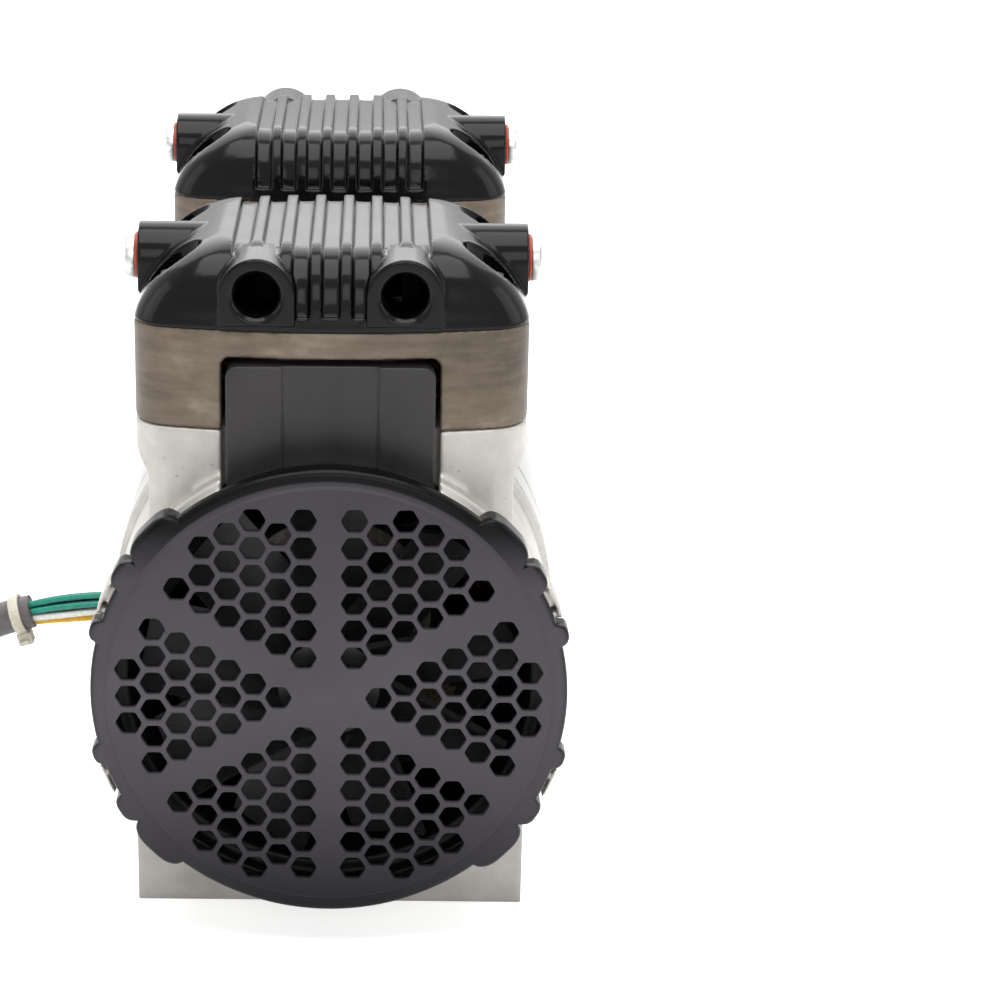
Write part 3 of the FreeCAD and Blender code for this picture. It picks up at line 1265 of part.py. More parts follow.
def cable_connector():
    """The moulded connector that ends the lead, inside the loop."""
    centre = loop_place()
    x = centre.x - CONNECTOR_LENGTH / 2
    inside = COIL_MID_RADIUS - SLEEVE_RADIUS
    sagitta = inside - math.sqrt(inside ** 2 - (CONNECTOR_LENGTH / 2) ** 2)
    y = centre.y - inside + sagitta + CONNECTOR_GAP
    return Part.makeBox(CONNECTOR_LENGTH, CONNECTOR_WIDTH, CONNECTOR_HEIGHT, V(x, y, 0))


def cable_tie():
    """A tie strap round the sleeve with its lock and a short tail."""
    start = V(TIE_X - TIE_WIDTH / 2, LEAD_Y, LEAD_HEIGHT)
    outer = SLEEVE_RADIUS + TIE_THICKNESS
    strap = Part.makeCylinder(outer, TIE_WIDTH, start, V(1, 0, 0))
    lock_y = LEAD_Y - outer - TIE_HEAD + TIE_LAP
    tail_y = LEAD_Y - outer - TIE_THICKNESS
    bottom = LEAD_HEIGHT - outer
    lock = Part.makeBox(TIE_WIDTH, TIE_HEAD, TIE_HEAD, V(start.x, lock_y, bottom))
    tail_base = V(start.x, tail_y, bottom - TIE_TAIL + TIE_LAP)
    tail = Part.makeBox(TIE_WIDTH, TIE_THICKNESS, TIE_TAIL, tail_base)
    hole = Part.makeCylinder(SLEEVE_RADIUS, TIE_WIDTH + 2, start - V(1, 0, 0), V(1, 0, 0))
    return fuse([strap, lock, tail]).cut(hole)


def pair(shape):
    """One piece at the front and its mirror image at the rear, as separate solids."""
    shapes = shape if isinstance(shape, list) else [shape]
    return Part.makeCompound(shapes + [mirrored(item) for item in shapes])


def save(name, shape):
    solids = shape if isinstance(shape, list) else shape.Solids
    result = solids[0] if len(solids) == 1 else Part.makeCompound(solids)
    if not result.isValid():
        raise ValueError(name + " is not a valid solid")
    result.exportStep("parts/" + name + ".step")


def build():
    os.makedirs("parts", exist_ok=True)
    single = {
        "fan_cover": fan_cover(),
        "crankcase": crankcase(),
        "cylinder_block": cylinder_block(),
        "air_duct": air_duct(),
        "valve_plate": valve_plate(),
        "head": head(),
        "fan": fan(),
    }
    for name, shape in single.items():
        save("front_" + name, shape)
        save("rear_" + name, mirrored(shape))
    outer_race, inner_race = main_bearing_rings()
    save("head_gaskets", pair(head_gasket()))
    save("cylinder_seals", pair(cylinder_seal()))
    save("head_screws", pair(head_screws()))
    save("port_plugs", pair([port_plug(-1), port_plug(1)]))
    save("port_plug_seals", pair([plug_seal(-1), plug_seal(1)]))
    save("valve_stops", pair(valve_stop()))
    save("main_bearing_outer_rings", pair(outer_race))
    save("main_bearing_inner_rings", pair(inner_race))
    save("fan_clips", pair(fan_clip()))
    save("fan_spacers", pair(fan_spacer()))
    intake = reed(-VALVE_X, TOP_OF_BLOCK - REED_THICKNESS)
    discharge = reed(VALVE_X, PLATE_TOP)
    save("front_intake_reed", intake)
    save("rear_intake_reed", mirrored(intake))
    save("front_discharge_reed", discharge)
    save("rear_discharge_reed", mirrored(discharge))
    inner_rings = []
    screws = []
    for end, crank in (("front", CRANK_RADIUS), ("rear", -CRANK_RADIUS)):
        place = mirrored if end == "rear" else (lambda shape: shape)
        rod_outer, rod_inner = rod_bearing_rings(SHAFT_HEIGHT + crank)
        inner_rings.append(place(rod_inner))
        screws.append(place(set_screw(crank)))
        save(end + "_eccentric", place(eccentric(crank)))
        save(end + "_rod", place(connecting_rod(crank)))
        save(end + "_rod_bearing_outer_ring", place(rod_outer))
        save(end + "_piston_cup", place(piston_cup(crank)))
        save(end + "_cup_retainer", place(cup_retainer(crank)))
        save(end + "_retainer_screw", place(retainer_screw(crank)))
    save("rod_bearing_inner_rings", inner_rings)
    save("eccentric_set_screws", screws)
    save("shaft", shaft())
    save("rotor_core", rotor_core())
    save("rotor_magnets", rotor_magnets())
    save("motor_shell", motor_shell())
    save("stator_core", stator_core())
    save("stator_coils", stator_coils())
    save("hall_sensor_board", hall_board())
    save("tie_bolts", tie_bolts())
    save("wire_grommet", wire_grommet())
    save("motor_leads", motor_leads())
    save("cable_sleeve", cable_sleeve())
    save("cable_loop", cable_loop())
    save("cable_connector", cable_connector())
    save("cable_tie", cable_tie())


build()
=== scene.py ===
"""Twin-head oil-free air compressor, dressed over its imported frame.

Lengths are metres. The front faces -Y, the shaft lies along Y and Z = 0 is the surface under the feet.
"""

import math

import bpy
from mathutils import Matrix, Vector


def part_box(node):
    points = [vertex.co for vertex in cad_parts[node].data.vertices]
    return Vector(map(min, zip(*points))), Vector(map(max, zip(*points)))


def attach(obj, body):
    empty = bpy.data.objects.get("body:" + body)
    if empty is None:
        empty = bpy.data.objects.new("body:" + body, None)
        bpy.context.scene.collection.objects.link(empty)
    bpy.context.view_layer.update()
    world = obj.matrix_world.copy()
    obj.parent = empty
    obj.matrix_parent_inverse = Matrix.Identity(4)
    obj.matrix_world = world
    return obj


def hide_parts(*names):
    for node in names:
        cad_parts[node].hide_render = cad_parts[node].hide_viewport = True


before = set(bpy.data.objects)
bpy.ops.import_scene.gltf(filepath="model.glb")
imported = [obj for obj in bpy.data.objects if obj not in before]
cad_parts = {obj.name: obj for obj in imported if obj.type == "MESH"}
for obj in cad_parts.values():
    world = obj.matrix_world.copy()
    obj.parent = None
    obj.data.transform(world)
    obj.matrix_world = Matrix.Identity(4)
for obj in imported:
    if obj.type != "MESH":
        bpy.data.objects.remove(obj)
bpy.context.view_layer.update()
bpy.ops.object.select_all(action="DESELECT")

SHAFT_HEIGHT = 0.083
HALF_LENGTH = 0.146


def linear(hex_colour):
    """An sRGB hex colour as linear values for a shader."""
    channels = [int(hex_colour[i:i + 2], 16) / 255 for i in (1, 3, 5)]
    return [c / 12.92 if c <= 0.04045 else ((c + 0.055) / 1.055) ** 2.4 for c in channels] + [1.0]


def new_material(name):
    """An empty material with its surface shader, and the place on the object that patterns read."""
    material = bpy.data.materials.new(name)
    material.use_nodes = True
    shader = material.node_tree.nodes["Principled BSDF"]
    place = add(material, "TexCoord").outputs["Object"]
    return material, shader, place


def add(material, kind, inputs=(), **settings):
    """Adds a node, sets its fields, and fills or links its inputs."""
    made = material.node_tree.nodes.new("ShaderNode" + kind)
    for field, value in settings.items():
        setattr(made, field, value)
    for name, value in dict(inputs).items():
        join(material, value, made.inputs[name])
    return made


def join(material, value, socket):
    """Links a socket to another, or sets it to a plain value."""
    if isinstance(value, bpy.types.NodeSocket):
        material.node_tree.links.new(value, socket)
    else:
        socket.default_value = value


def ramp(material, factor, stops):
    """A colour ramp over (position, hex colour) stops."""
    made = add(material, "ValToRGB", {"Fac": factor})
    elements = made.color_ramp.elements
    while len(elements) < len(stops):
        elements.new(0.5)
    for element, (position, colour) in zip(elements, stops):
        element.position = position
        element.color = linear(colour)
    return made.outputs["Color"]


def shaft_radius(material, place):
    """The distance of each place from the shaft's axis."""
    centred = add(material, "VectorMath", {0: place, 1: (0.0, 0.0, SHAFT_HEIGHT)}, operation="SUBTRACT")
    offset = centred.outputs["Vector"]
    across = add(material, "VectorMath", {0: offset, 1: (1.0, 0.0, 1.0)}, operation="MULTIPLY")
    return add(material, "VectorMath", {0: across.outputs["Vector"]}, operation="LENGTH").outputs["Value"]


def textured_nylon():
    """Moulded black nylon: a dull grain on the flat front, whose grey is painted light and shade, darker towards
    the bottom; smooth and black elsewhere, that black partly painted shade.
    """
    material, shader, place = new_material("moulded nylon, spark-eroded grain")
    axes = add(material, "SeparateXYZ", {"Vector": place})
    cloud = add(material, "TexNoise", {"Vector": place, "Scale": 32.0, "Detail": 4.0}).outputs["Fac"]
    # The face's grey is painted light and shade by height: dark at the bottom, palest at mid height, a little
    # darker at the top.
    height = add(material, "MapRange", {"Value": axes.outputs["Z"], "From Max": 0.15}).outputs["Result"]
    greys = ((0.10, "#19181b"), (0.32, "#434045"), (0.55, "#504d52"), (0.95, "#423f44"))
    height_light_and_shade = ramp(material, height, greys)
    mottled = add(material, "MapRange", {"Value": cloud, "To Min": 0.8, "To Max": 1.15}).outputs["Result"]
    mottled_light_and_shade = add(material, "HueSaturation", {"Color": height_light_and_shade, "Value": mottled}).outputs["Color"]
    depth = add(material, "Math", {0: axes.outputs["Y"]}, operation="ABSOLUTE").outputs["Value"]
    front = {"Value": depth, "From Min": HALF_LENGTH - 0.0020, "From Max": HALF_LENGTH - 0.0011}
    front_face = add(material, "MapRange", front).outputs["Result"]
    inside_edge = {"Value": shaft_radius(material, place), "From Min": 0.0672, "From Max": 0.0664}
    disc = add(material, "MapRange", inside_edge).outputs["Result"]
    # Outside the disc the flange keeps the grey face below the top only: over the top it is painted shade, black.
    # The side walls and rim are black partly as their smoother moulding, partly as painted shade.
    below_top = {"Value": axes.outputs["Z"], "From Min": 0.135, "From Max": 0.118}
    low = add(material, "MapRange", below_top).outputs["Result"]
    dull = add(material, "Math", {0: disc, 1: low}, operation="MAXIMUM").outputs["Value"]
    flat = add(material, "Math", {0: front_face, 1: dull}, operation="MULTIPLY").outputs["Value"]
    colour = add(material, "Mix", {0: flat, 6: linear("#060608"), 7: mottled_light_and_shade}, data_type="RGBA").outputs[2]
    join(material, colour, shader.inputs["Base Color"])
    # The grain is 0.35 mm across.
    grain = add(material, "TexNoise", {"Vector": place, "Scale": 2800.0, "Detail": 2.0}).outputs["Fac"]
    rough = add(material, "MapRange", {"Value": flat, "To Min": 0.28, "To Max": 0.52}).outputs["Result"]
    join(material, rough, shader.inputs["Roughness"])
    shader.inputs["Specular IOR Level"].default_value = 0.1
    bump = add(material, "Bump", {"Height": grain, "Strength": 0.18, "Distance": 0.0001})
    join(material, bump.outputs["Normal"], shader.inputs["Normal"])
    return material


def smooth_abs():
    """Smooth moulded ABS, darker and a little glossier than the cover, with faint flow marks."""
    material, shader, place = new_material("smooth moulded ABS")
    stretched = add(material, "Mapping", {"Vector": place, "Scale": (30.0, 30.0, 8.0)}).outputs["Vector"]
    flow = add(material, "TexNoise", {"Vector": stretched, "Scale": 4.0, "Detail": 5.0}).outputs["Fac"]
    black = ramp(material, flow, ((0.25, "#232122"), (0.75, "#302d2e")))
    join(material, black, shader.inputs["Base Color"])
    shader.inputs["Specular IOR Level"].default_value = 0.3
    rough = add(material, "MapRange", {"Value": flow, "To Min": 0.34, "To Max": 0.46}).outputs["Result"]
    join(material, rough, shader.inputs["Roughness"])
    ripple = add(material, "TexNoise", {"Vector": place, "Scale": 900.0, "Detail": 1.0}).outputs["Fac"]
    bump = add(material, "Bump", {"Height": ripple, "Strength": 0.06, "Distance": 0.0001})
    join(material, bump.outputs["Normal"], shader.inputs["Normal"])
    return material


def gloss_enamel():
    """Gloss black stoving enamel on a casting: deep black with a wet coat and a soft orange peel."""
    material, shader, place = new_material("gloss black enamel")
    cloud = add(material, "TexNoise", {"Vector": place, "Scale": 60.0, "Detail": 3.0}).outputs["Fac"]
    join(material, ramp(material, cloud, ((0.3, "#060608"), (0.7, "#0a0a0c"))), shader.inputs["Base Color"])
    rough = add(material, "MapRange", {"Value": cloud, "To Min": 0.14, "To Max": 0.24}).outputs["Result"]
    join(material, rough, shader.inputs["Roughness"])
    shader.inputs["Specular IOR Level"].default_value = 0.11
    shader.inputs["Coat Weight"].default_value = 0.12
    shader.inputs["Coat Roughness"].default_value = 0.08
    # Orange peel with cells of about 2 mm.
    peel = add(material, "TexNoise", {"Vector": place, "Scale": 450.0, "Detail": 1.0}).outputs["Fac"]
    bump = add(material, "Bump", {"Height": peel, "Strength": 0.10, "Distance": 0.0002})
    join(material, bump.outputs["Normal"], shader.inputs["Normal"])
    join(material, bump.outputs["Normal"], shader.inputs["Coat Normal"])
    return material


def hard_anodising():
    """Hard-anodised cast aluminium: a dull brown oxide skin, clouded and streaked along its faces."""
    material, shader, place = new_material("hard anodised aluminium")
    # Clouds of about 40 mm, and streaks of about 2 mm across and 15 mm along.
    soft = {"Vector": place, "Scale": 24.0, "Detail": 6.0, "Roughness": 0.6}
    cloud = add(material, "TexNoise", soft).outputs["Fac"]
    drawn = add(material, "Mapping", {"Vector": place, "Scale": (0.16, 0.16, 1.0)}).outputs["Vector"]
    streak = add(material, "TexNoise", {"Vector": drawn, "Scale": 420.0, "Detail": 4.0}).outputs["Fac"]
    share = add(material, "Mix", {0: 0.25, 2: cloud, 3: streak}, data_type="FLOAT").outputs[0]
    browns = ((0.34, "#3d3329"), (0.45, "#5a4e41"), (0.54, "#6a5d50"), (0.68, "#91857a"))
    colour = ramp(material, share, browns)
    join(material, colour, shader.inputs["Base Color"])
    shader.inputs["Metallic"].default_value = 0.25
    rough = add(material, "MapRange", {"Value": share, "To Min": 0.36, "To Max": 0.56}).outputs["Result"]
    join(material, rough, shader.inputs["Roughness"])
    # Blasted before anodising, with a grit mark of about 0.3 mm.
    grit = add(material, "TexNoise", {"Vector": place, "Scale": 3200.0, "Detail": 2.0}).outputs["Fac"]
    bump = add(material, "Bump", {"Height": grit, "Strength": 0.25, "Distance": 0.0001})
    join(material, bump.outputs["Normal"], shader.inputs["Normal"])
    return material


def raw_casting():
    """Die-cast aluminium as it leaves the die: a pale dull skin with grey flow clouds and small pits."""
    material, shader, place = new_material("raw die-cast aluminium")
    # Clouds of about 20 mm.
    soft = {"Vector": place, "Scale": 45.0, "Detail": 7.0, "Roughness": 0.62}
    cloud = add(material, "TexNoise", soft).outputs["Fac"]
    skin = ramp(material, cloud, ((0.30, "#a29f9a"), (0.48, "#adaaa5"), (0.66, "#b9b6b1")))
    # Pits of about 1 mm, sparsely spread.
    spots = add(material, "TexNoise", {"Vector": place, "Scale": 420.0, "Detail": 3.0}).outputs["Fac"]
    highest = {"Value": spots, "From Min": 0.69, "From Max": 0.78}
    stain = add(material, "MapRange", highest).outputs["Result"]
    speckled = add(material, "Mix", {0: stain, 6: skin, 7: linear("#827e78")}, data_type="RGBA").outputs[2]
    # The casting is darker towards the foot.
    height = add(material, "SeparateXYZ", {"Vector": place}).outputs["Z"]
    foot_ramp = {"Value": height, "From Max": 0.09, "To Min": 0.74, "To Max": 1.06}
    darker_towards_foot = add(material, "MapRange", foot_ramp).outputs["Result"]
    mixed = add(material, "HueSaturation", {"Color": speckled, "Value": darker_towards_foot}).outputs["Color"]
    # Inside the drum the casting is painted near-black as shade.
    shaded_drum = {"Value": shaft_radius(material, place), "From Min": 0.0668, "From Max": 0.0660}
    inside = add(material, "MapRange", shaded_drum).outputs["Result"]
    shown = add(material, "Mix", {0: inside, 6: mixed, 7: linear("#1c1b1b")}, data_type="RGBA").outputs[2]
    join(material, shown, shader.inputs["Base Color"])
    shader.inputs["Metallic"].default_value = 0.6
    rough = add(material, "MapRange", {"Value": cloud, "To Min": 0.56, "To Max": 0.40}).outputs["Result"]
    join(material, rough, shader.inputs["Roughness"])
    grit = add(material, "TexNoise", {"Vector": place, "Scale": 1600.0, "Detail": 3.0}).outputs["Fac"]
    bump = add(material, "Bump", {"Height": grit, "Strength": 0.3, "Distance": 0.00012})
    join(material, bump.outputs["Normal"], shader.inputs["Normal"])
    return material


def turned_metal(name, hex_colour, line_mm, roughness, groove_shade_radius=0.0):
    """Metal turned about the shaft: fine rings that run round it, and painted shade in the grooves below a radius.
    """
    material, shader, place = new_material(name)
    along = add(material, "SeparateXYZ", {"Vector": place}).outputs["Y"]
    lines = add(material, "CombineXYZ", {"Y": along}).outputs["Vector"]
    fine = {"Vector": lines, "Scale": 1000 / line_mm, "Detail": 2.0}
    rings = add(material, "TexNoise", fine).outputs["Fac"]
    shade = add(material, "MapRange", {"Value": rings, "To Min": 0.86, "To Max": 1.06}).outputs["Result"]
    tint = add(material, "HueSaturation", {"Color": linear(hex_colour), "Value": shade}).outputs["Color"]
    radius = shaft_radius(material, place)
    # Below the radius the grooves are painted near-black as shade.
    outside_groove_shade = add(material, "Math", {0: radius, 1: groove_shade_radius}, operation="GREATER_THAN").outputs["Value"]
    shown = add(material, "Mix", {0: outside_groove_shade, 6: linear("#1a1a1a"), 7: tint}, data_type="RGBA").outputs[2]
    join(material, shown, shader.inputs["Base Color"])
    shader.inputs["Metallic"].default_value = 1.0
    rough = add(material, "MapRange", {"Value": rings, "To Min": roughness, "To Max": roughness + 0.12})
    join(material, rough.outputs["Result"], shader.inputs["Roughness"])
    bump = add(material, "Bump", {"Height": rings, "Strength": 0.2, "Distance": 0.00005})
    join(material, bump.outputs["Normal"], shader.inputs["Normal"])
    return material


def plated_steel(name, pale, dark, grain_mm, roughness):
    """Steel with a thin bright skin that clouds from place to place."""
    material, shader, place = new_material(name)
    cloudy = {"Vector": place, "Scale": 1000 / grain_mm, "Detail": 4.0}
    cloud = add(material, "TexNoise", cloudy).outputs["Fac"]
    join(material, ramp(material, cloud, ((0.35, dark), (0.65, pale))), shader.inputs["Base Color"])
    shader.inputs["Metallic"].default_value = 1.0
    rough = add(material, "MapRange", {"Value": cloud, "To Min": roughness + 0.1, "To Max": roughness})
    join(material, rough.outputs["Result"], shader.inputs["Roughness"])
    bump = add(material, "Bump", {"Height": cloud, "Strength": 0.08, "Distance": 0.0001})
    join(material, bump.outputs["Normal"], shader.inputs["Normal"])
    return material


def moulding(name, pale, dark, grain_mm, roughness, grain_strength=0.1):
    """A moulded plastic, rubber, fibre or enamelled surface with its own grain."""
    material, shader, place = new_material(name)
    grainy = {"Vector": place, "Scale": 1000 / grain_mm, "Detail": 3.0}
    grain = add(material, "TexNoise", grainy).outputs["Fac"]
    join(material, ramp(material, grain, ((0.3, dark), (0.7, pale))), shader.inputs["Base Color"])
    rough = add(material, "MapRange", {"Value": grain, "To Min": roughness, "To Max": roughness + 0.12})
    join(material, rough.outputs["Result"], shader.inputs["Roughness"])
    bump = add(material, "Bump", {"Height": grain, "Strength": grain_strength, "Distance": 0.0001})
    join(material, bump.outputs["Normal"], shader.inputs["Normal"])
    return material


def laminated_steel():
    """A stack of electrical sheets under brown varnish, drawn as a line to each millimetre of the stack."""
    material, shader, place = new_material("varnished lamination stack")
    along = add(material, "SeparateXYZ", {"Vector": place}).outputs["Y"]
    wave = add(material, "Math", {0: along, 1: 2 * math.pi / 0.0010}, operation="MULTIPLY").outputs["Value"]
    sheet = add(material, "Math", {0: wave}, operation="SINE").outputs["Value"]
    line = add(material, "MapRange", {"Value": sheet, "From Min": -1.0}).outputs["Result"]
    join(material, ramp(material, line, ((0.2, "#3a3632"), (0.6, "#6a655f"))), shader.inputs["Base Color"])
    shader.inputs["Metallic"].default_value = 0.8
    shader.inputs["Roughness"].default_value = 0.45
    bump = add(material, "Bump", {"Height": line, "Strength": 0.3, "Distance": 0.0001})
    join(material, bump.outputs["Normal"], shader.inputs["Normal"])
    return material


def wound_copper():
    """Enamelled copper wire of 0.9 mm wound in close turns, as ribs across each coil."""
    material, shader, place = new_material("enamelled copper winding")
    along = add(material, "SeparateXYZ", {"Vector": place}).outputs["Y"]
    radius = shaft_radius(material, place)
    waves = {0: radius, 1: 2 * math.pi / 0.0009}
    wave = add(material, "Math", waves, operation="MULTIPLY").outputs["Value"]
    turn = add(material, "Math", {0: wave}, operation="SINE").outputs["Value"]
    rib = add(material, "MapRange", {"Value": turn, "From Min": -1.0}).outputs["Result"]
    patch = add(material, "CombineXYZ", {"X": along, "Y": radius}).outputs["Vector"]
    cloud = add(material, "TexNoise", {"Vector": patch, "Scale": 300.0, "Detail": 2.0}).outputs["Fac"]
    join(material, ramp(material, cloud, ((0.3, "#8a4a22"), (0.7, "#b9713a"))), shader.inputs["Base Color"])
    shader.inputs["Metallic"].default_value = 0.7
    shader.inputs["Roughness"].default_value = 0.3
    bump = add(material, "Bump", {"Height": rib, "Strength": 0.6, "Distance": 0.0004})
    join(material, bump.outputs["Normal"], shader.inputs["Normal"])
    return material


def make_finishes():
    """Every finish on the compressor, by the name that the pieces use."""
    return {
        "cover": textured_nylon(),
        "duct": smooth_abs(),
        "enamel": gloss_enamel(),
        "anodised": hard_anodising(),
        "casting": raw_casting(),
        "shell": turned_metal("turned aluminium", "#a6a5a3", 0.5, 0.34, 0.0695),
        "shaft": turned_metal("ground steel", "#b9babd", 0.25, 0.18),
        "zinc": plated_steel("zinc-plated steel", "#d2d4d0", "#a9aba8", 3.0, 0.24),
        "spring": plated_steel("polished spring steel", "#c2c4c8", "#9a9ca0", 2.0, 0.16),
        "sintered": plated_steel("oiled sintered iron", "#8c7a64", "#5f5040", 1.2, 0.42),
        "rod": plated_steel("machined cast aluminium", "#b8b3a8", "#9a958b", 1.5, 0.38),
        "nickel": plated_steel("nickel-plated magnet", "#a9a6a0", "#85827c", 2.5, 0.3),
        "black steel": plated_steel("blacked steel screw", "#3b3b3d", "#252527", 1.5, 0.35),
        "sealant": moulding("cured thread sealant", "#c0432a", "#8e2a18", 1.5, 0.38, 0.5),
        "rubber": moulding("black nitrile rubber", "#2b2a2a", "#1c1b1b", 0.8, 0.55),
        "fibre": moulding("pressed fibre gasket", "#5a5853", "#3f3d39", 0.6, 0.8, 0.4),
        "cup": moulding("bronze-filled fluoropolymer", "#7b5b3a", "#5a4028", 0.5, 0.35),
        "fan": moulding("glass-filled black nylon", "#2a2a2b", "#1b1b1c", 1.0, 0.38),
        "board": moulding("glass-epoxy board", "#1d5a35", "#134327", 2.0, 0.25),
        "tie": moulding("natural nylon tie", "#cbc7b7", "#b8b4a3", 1.2, 0.32),
        "connector": moulding("natural nylon moulding", "#cfccbf", "#bdb9aa", 1.6, 0.4),
        "sleeve": moulding("grey vinyl sleeve", "#5e5859", "#4b4647", 2.4, 0.42, 0.35),
        "laminations": laminated_steel(),
        "copper": wound_copper(),
        "teal wire": moulding("teal silicone insulation", "#008f79", "#007562", 1.4, 0.3),
        "blue wire": moulding("dark blue silicone insulation", "#1f2f5c", "#141f40", 1.4, 0.3),
        "black wire": moulding("black silicone insulation", "#232323", "#161616", 1.4, 0.3),
        "white wire": moulding("white silicone insulation", "#f1f1ec", "#dddcd5", 1.4, 0.3),
        "yellow wire": moulding("yellow silicone insulation", "#dfae00", "#c69500", 1.4, 0.3),
    }


FINISH_OF_NODE = {
    "fan_cover": "cover", "air_duct": "duct", "head": "enamel", "cylinder_block": "anodised",
    "crankcase": "casting", "motor_shell": "shell", "shaft": "shaft", "port_plugs": "zinc",
    "head_screws": "black steel", "tie_bolts": "zinc", "port_plug_seals": "sealant",
    "valve_plate": "spring", "intake_reed": "spring", "discharge_reed": "spring",
    "valve_stops": "black steel", "retainer_screw": "black steel",
    "eccentric_set_screws": "black steel", "fan_clips": "black steel", "fan_spacers": "shaft",
    "main_bearing_outer_rings": "shaft", "main_bearing_inner_rings": "shaft",
    "rod_bearing_inner_rings": "shaft", "rod_bearing_outer_ring": "shaft", "rod": "rod",
    "cup_retainer": "rod", "piston_cup": "cup", "eccentric": "sintered", "fan": "fan",
    "rotor_core": "laminations", "stator_core": "laminations", "rotor_magnets": "nickel",
    "stator_coils": "copper", "hall_sensor_board": "board", "head_gaskets": "fibre",
    "cylinder_seals": "rubber", "wire_grommet": "rubber", "motor_leads": "teal wire",
    "cable_sleeve": "sleeve", "cable_loop": "sleeve", "cable_connector": "connector",
    "cable_tie": "tie",
}


def cover(piece, finish):
    """Gives a piece its finish."""
    piece.data.materials.clear()
    piece.data.materials.append(finish)


def dress_nodes(finishes):
    """Gives every node of the frame the finish of its kind."""
    for name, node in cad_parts.items():
        kind = name.removeprefix("front_").removeprefix("rear_")
        cover(node, finishes[FINISH_OF_NODE[kind]])


def selected_on(piece):
    """Makes one piece the only selected and active one."""
    bpy.ops.object.select_all(action="DESELECT")
    piece.select_set(True)
    bpy.context.view_layer.objects.active = piece


def settle(piece, name, body="compressor body"):
    """Names a piece, moves its place into its mesh and lets it ride on its body."""
    piece.name = name
    piece.data.name = name
    selected_on(piece)
    bpy.ops.object.transform_apply(location=True, rotation=True, scale=True)
    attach(piece, body)
    return piece


def apply_modifier(piece, kind, **settings):
    """Finishes a piece with one modifier and applies it."""
    selected_on(piece)
    modifier = piece.modifiers.new(kind.title(), kind)
    for field, value in settings.items():
        setattr(modifier, field, value)
    bpy.ops.object.modifier_apply(modifier=modifier.name)


def combine(piece, tool, operation):
    """Adds a tool's shape to a piece or takes it out, and puts the tool away."""
    apply_modifier(piece, "BOOLEAN", operation=operation, object=tool, solver="EXACT")
    bpy.data.objects.remove(tool)


def joined(pieces):
    """Several pieces as one object."""
    selected_on(pieces[0])
    for piece in pieces:
        piece.select_set(True)
    bpy.ops.object.join()
    return bpy.context.object


def pick_faces(piece, wanted):
    """Goes into edit mode with just the faces selected whose centre and normal are wanted."""
    selected_on(piece)
    bpy.ops.object.mode_set(mode="EDIT")
    bpy.ops.mesh.select_mode(type="FACE")
    bpy.ops.mesh.select_all(action="DESELECT")
    bpy.ops.object.mode_set(mode="OBJECT")
    for face in piece.data.polygons:
        face.select = wanted(face.center, face.normal)
    bpy.ops.object.mode_set(mode="EDIT")


def leave_edit():
    bpy.ops.object.mode_set(mode="OBJECT")


def bar(radius, start, end, vertices=64):
    """A round bar between two points."""
    start, end = Vector(start), Vector(end)
    bpy.ops.mesh.primitive_cylinder_add(
        vertices=vertices, radius=radius, depth=(end - start).length, location=(start + end) / 2,
        rotation=(end - start).to_track_quat("Z", "Y").to_euler(),
    )
    bpy.ops.object.transform_apply(location=True, rotation=True, scale=True)
    return bpy.context.object


def block(low, high):
    """A squared block between two corners."""
    low, high = Vector(low), Vector(high)
    bpy.ops.mesh.primitive_cube_add(size=1, location=(low + high) / 2)
    piece = bpy.context.object
    piece.scale = high - low
    bpy.ops.object.transform_apply(location=True, rotation=True, scale=True)
    return piece


def cast_skin(piece, grain, rounds, keep):
    """Melts a piece's hard corners together into the soft fillets of a casting."""
    apply_modifier(piece, "REMESH", mode="VOXEL", voxel_size=grain)
    apply_modifier(piece, "SMOOTH", factor=0.5, iterations=rounds)
    apply_modifier(piece, "DECIMATE", decimate_type="COLLAPSE", ratio=keep)
    selected_on(piece)
    bpy.ops.object.shade_smooth()


def rear_twin(piece, name, *nodes):
    """The same piece on the rear pump, mirrored through the middle of the shaft."""
    twin = piece.copy()
    twin.data = piece.data.copy()
    bpy.context.scene.collection.objects.link(twin)
    selected_on(twin)
    twin.scale.y = -1
    bpy.ops.object.transform_apply(scale=True)
    bpy.ops.object.mode_set(mode="EDIT")
    bpy.ops.mesh.select_all(action="SELECT")
    bpy.ops.mesh.normals_make_consistent(inside=False)
    leave_edit()
    settle(twin, name)
    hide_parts(*nodes)
    return twin


PUMP_Y = -0.082
BLOCK_TOP = 0.189
PORT_X = 0.0213
PORT_AXIS = 0.2003
PORT_RADIUS = 0.0059
FRONT_BOSS_RADIUS = 0.011
SIDE_BOSS_RADIUS = 0.0103
SIDE_FACE = 0.0584
WELL_X = 0.046
WELL_SPREAD = 0.023
WELL_RADIUS = 0.0077


def block_plan():
    """The outline that block and head share: a rounded rectangle with bowed front and back."""
    half_width, half_depth, corner, bow = 0.058, 0.046, 0.013, 0.008
    arc = (half_width ** 2 + bow ** 2) / (2 * bow)
    core = half_width - corner
    spread = math.asin(core / (arc - corner))
    rise = (arc - corner) * math.cos(spread) - (arc - half_depth)
    quarter = []
    for step in range(9):
        turn = (math.pi / 2 - spread) * step / 8
        quarter.append((core + corner * math.cos(turn), rise + corner * math.sin(turn)))
    for step in range(1, 9):
        turn = math.pi / 2 - spread + spread * step / 8
        quarter.append((arc * math.cos(turn), half_depth - arc + arc * math.sin(turn)))
    upper = quarter + [(-x, y) for x, y in reversed(quarter[:-1])]
    return upper + [(-x, -y) for x, y in upper]


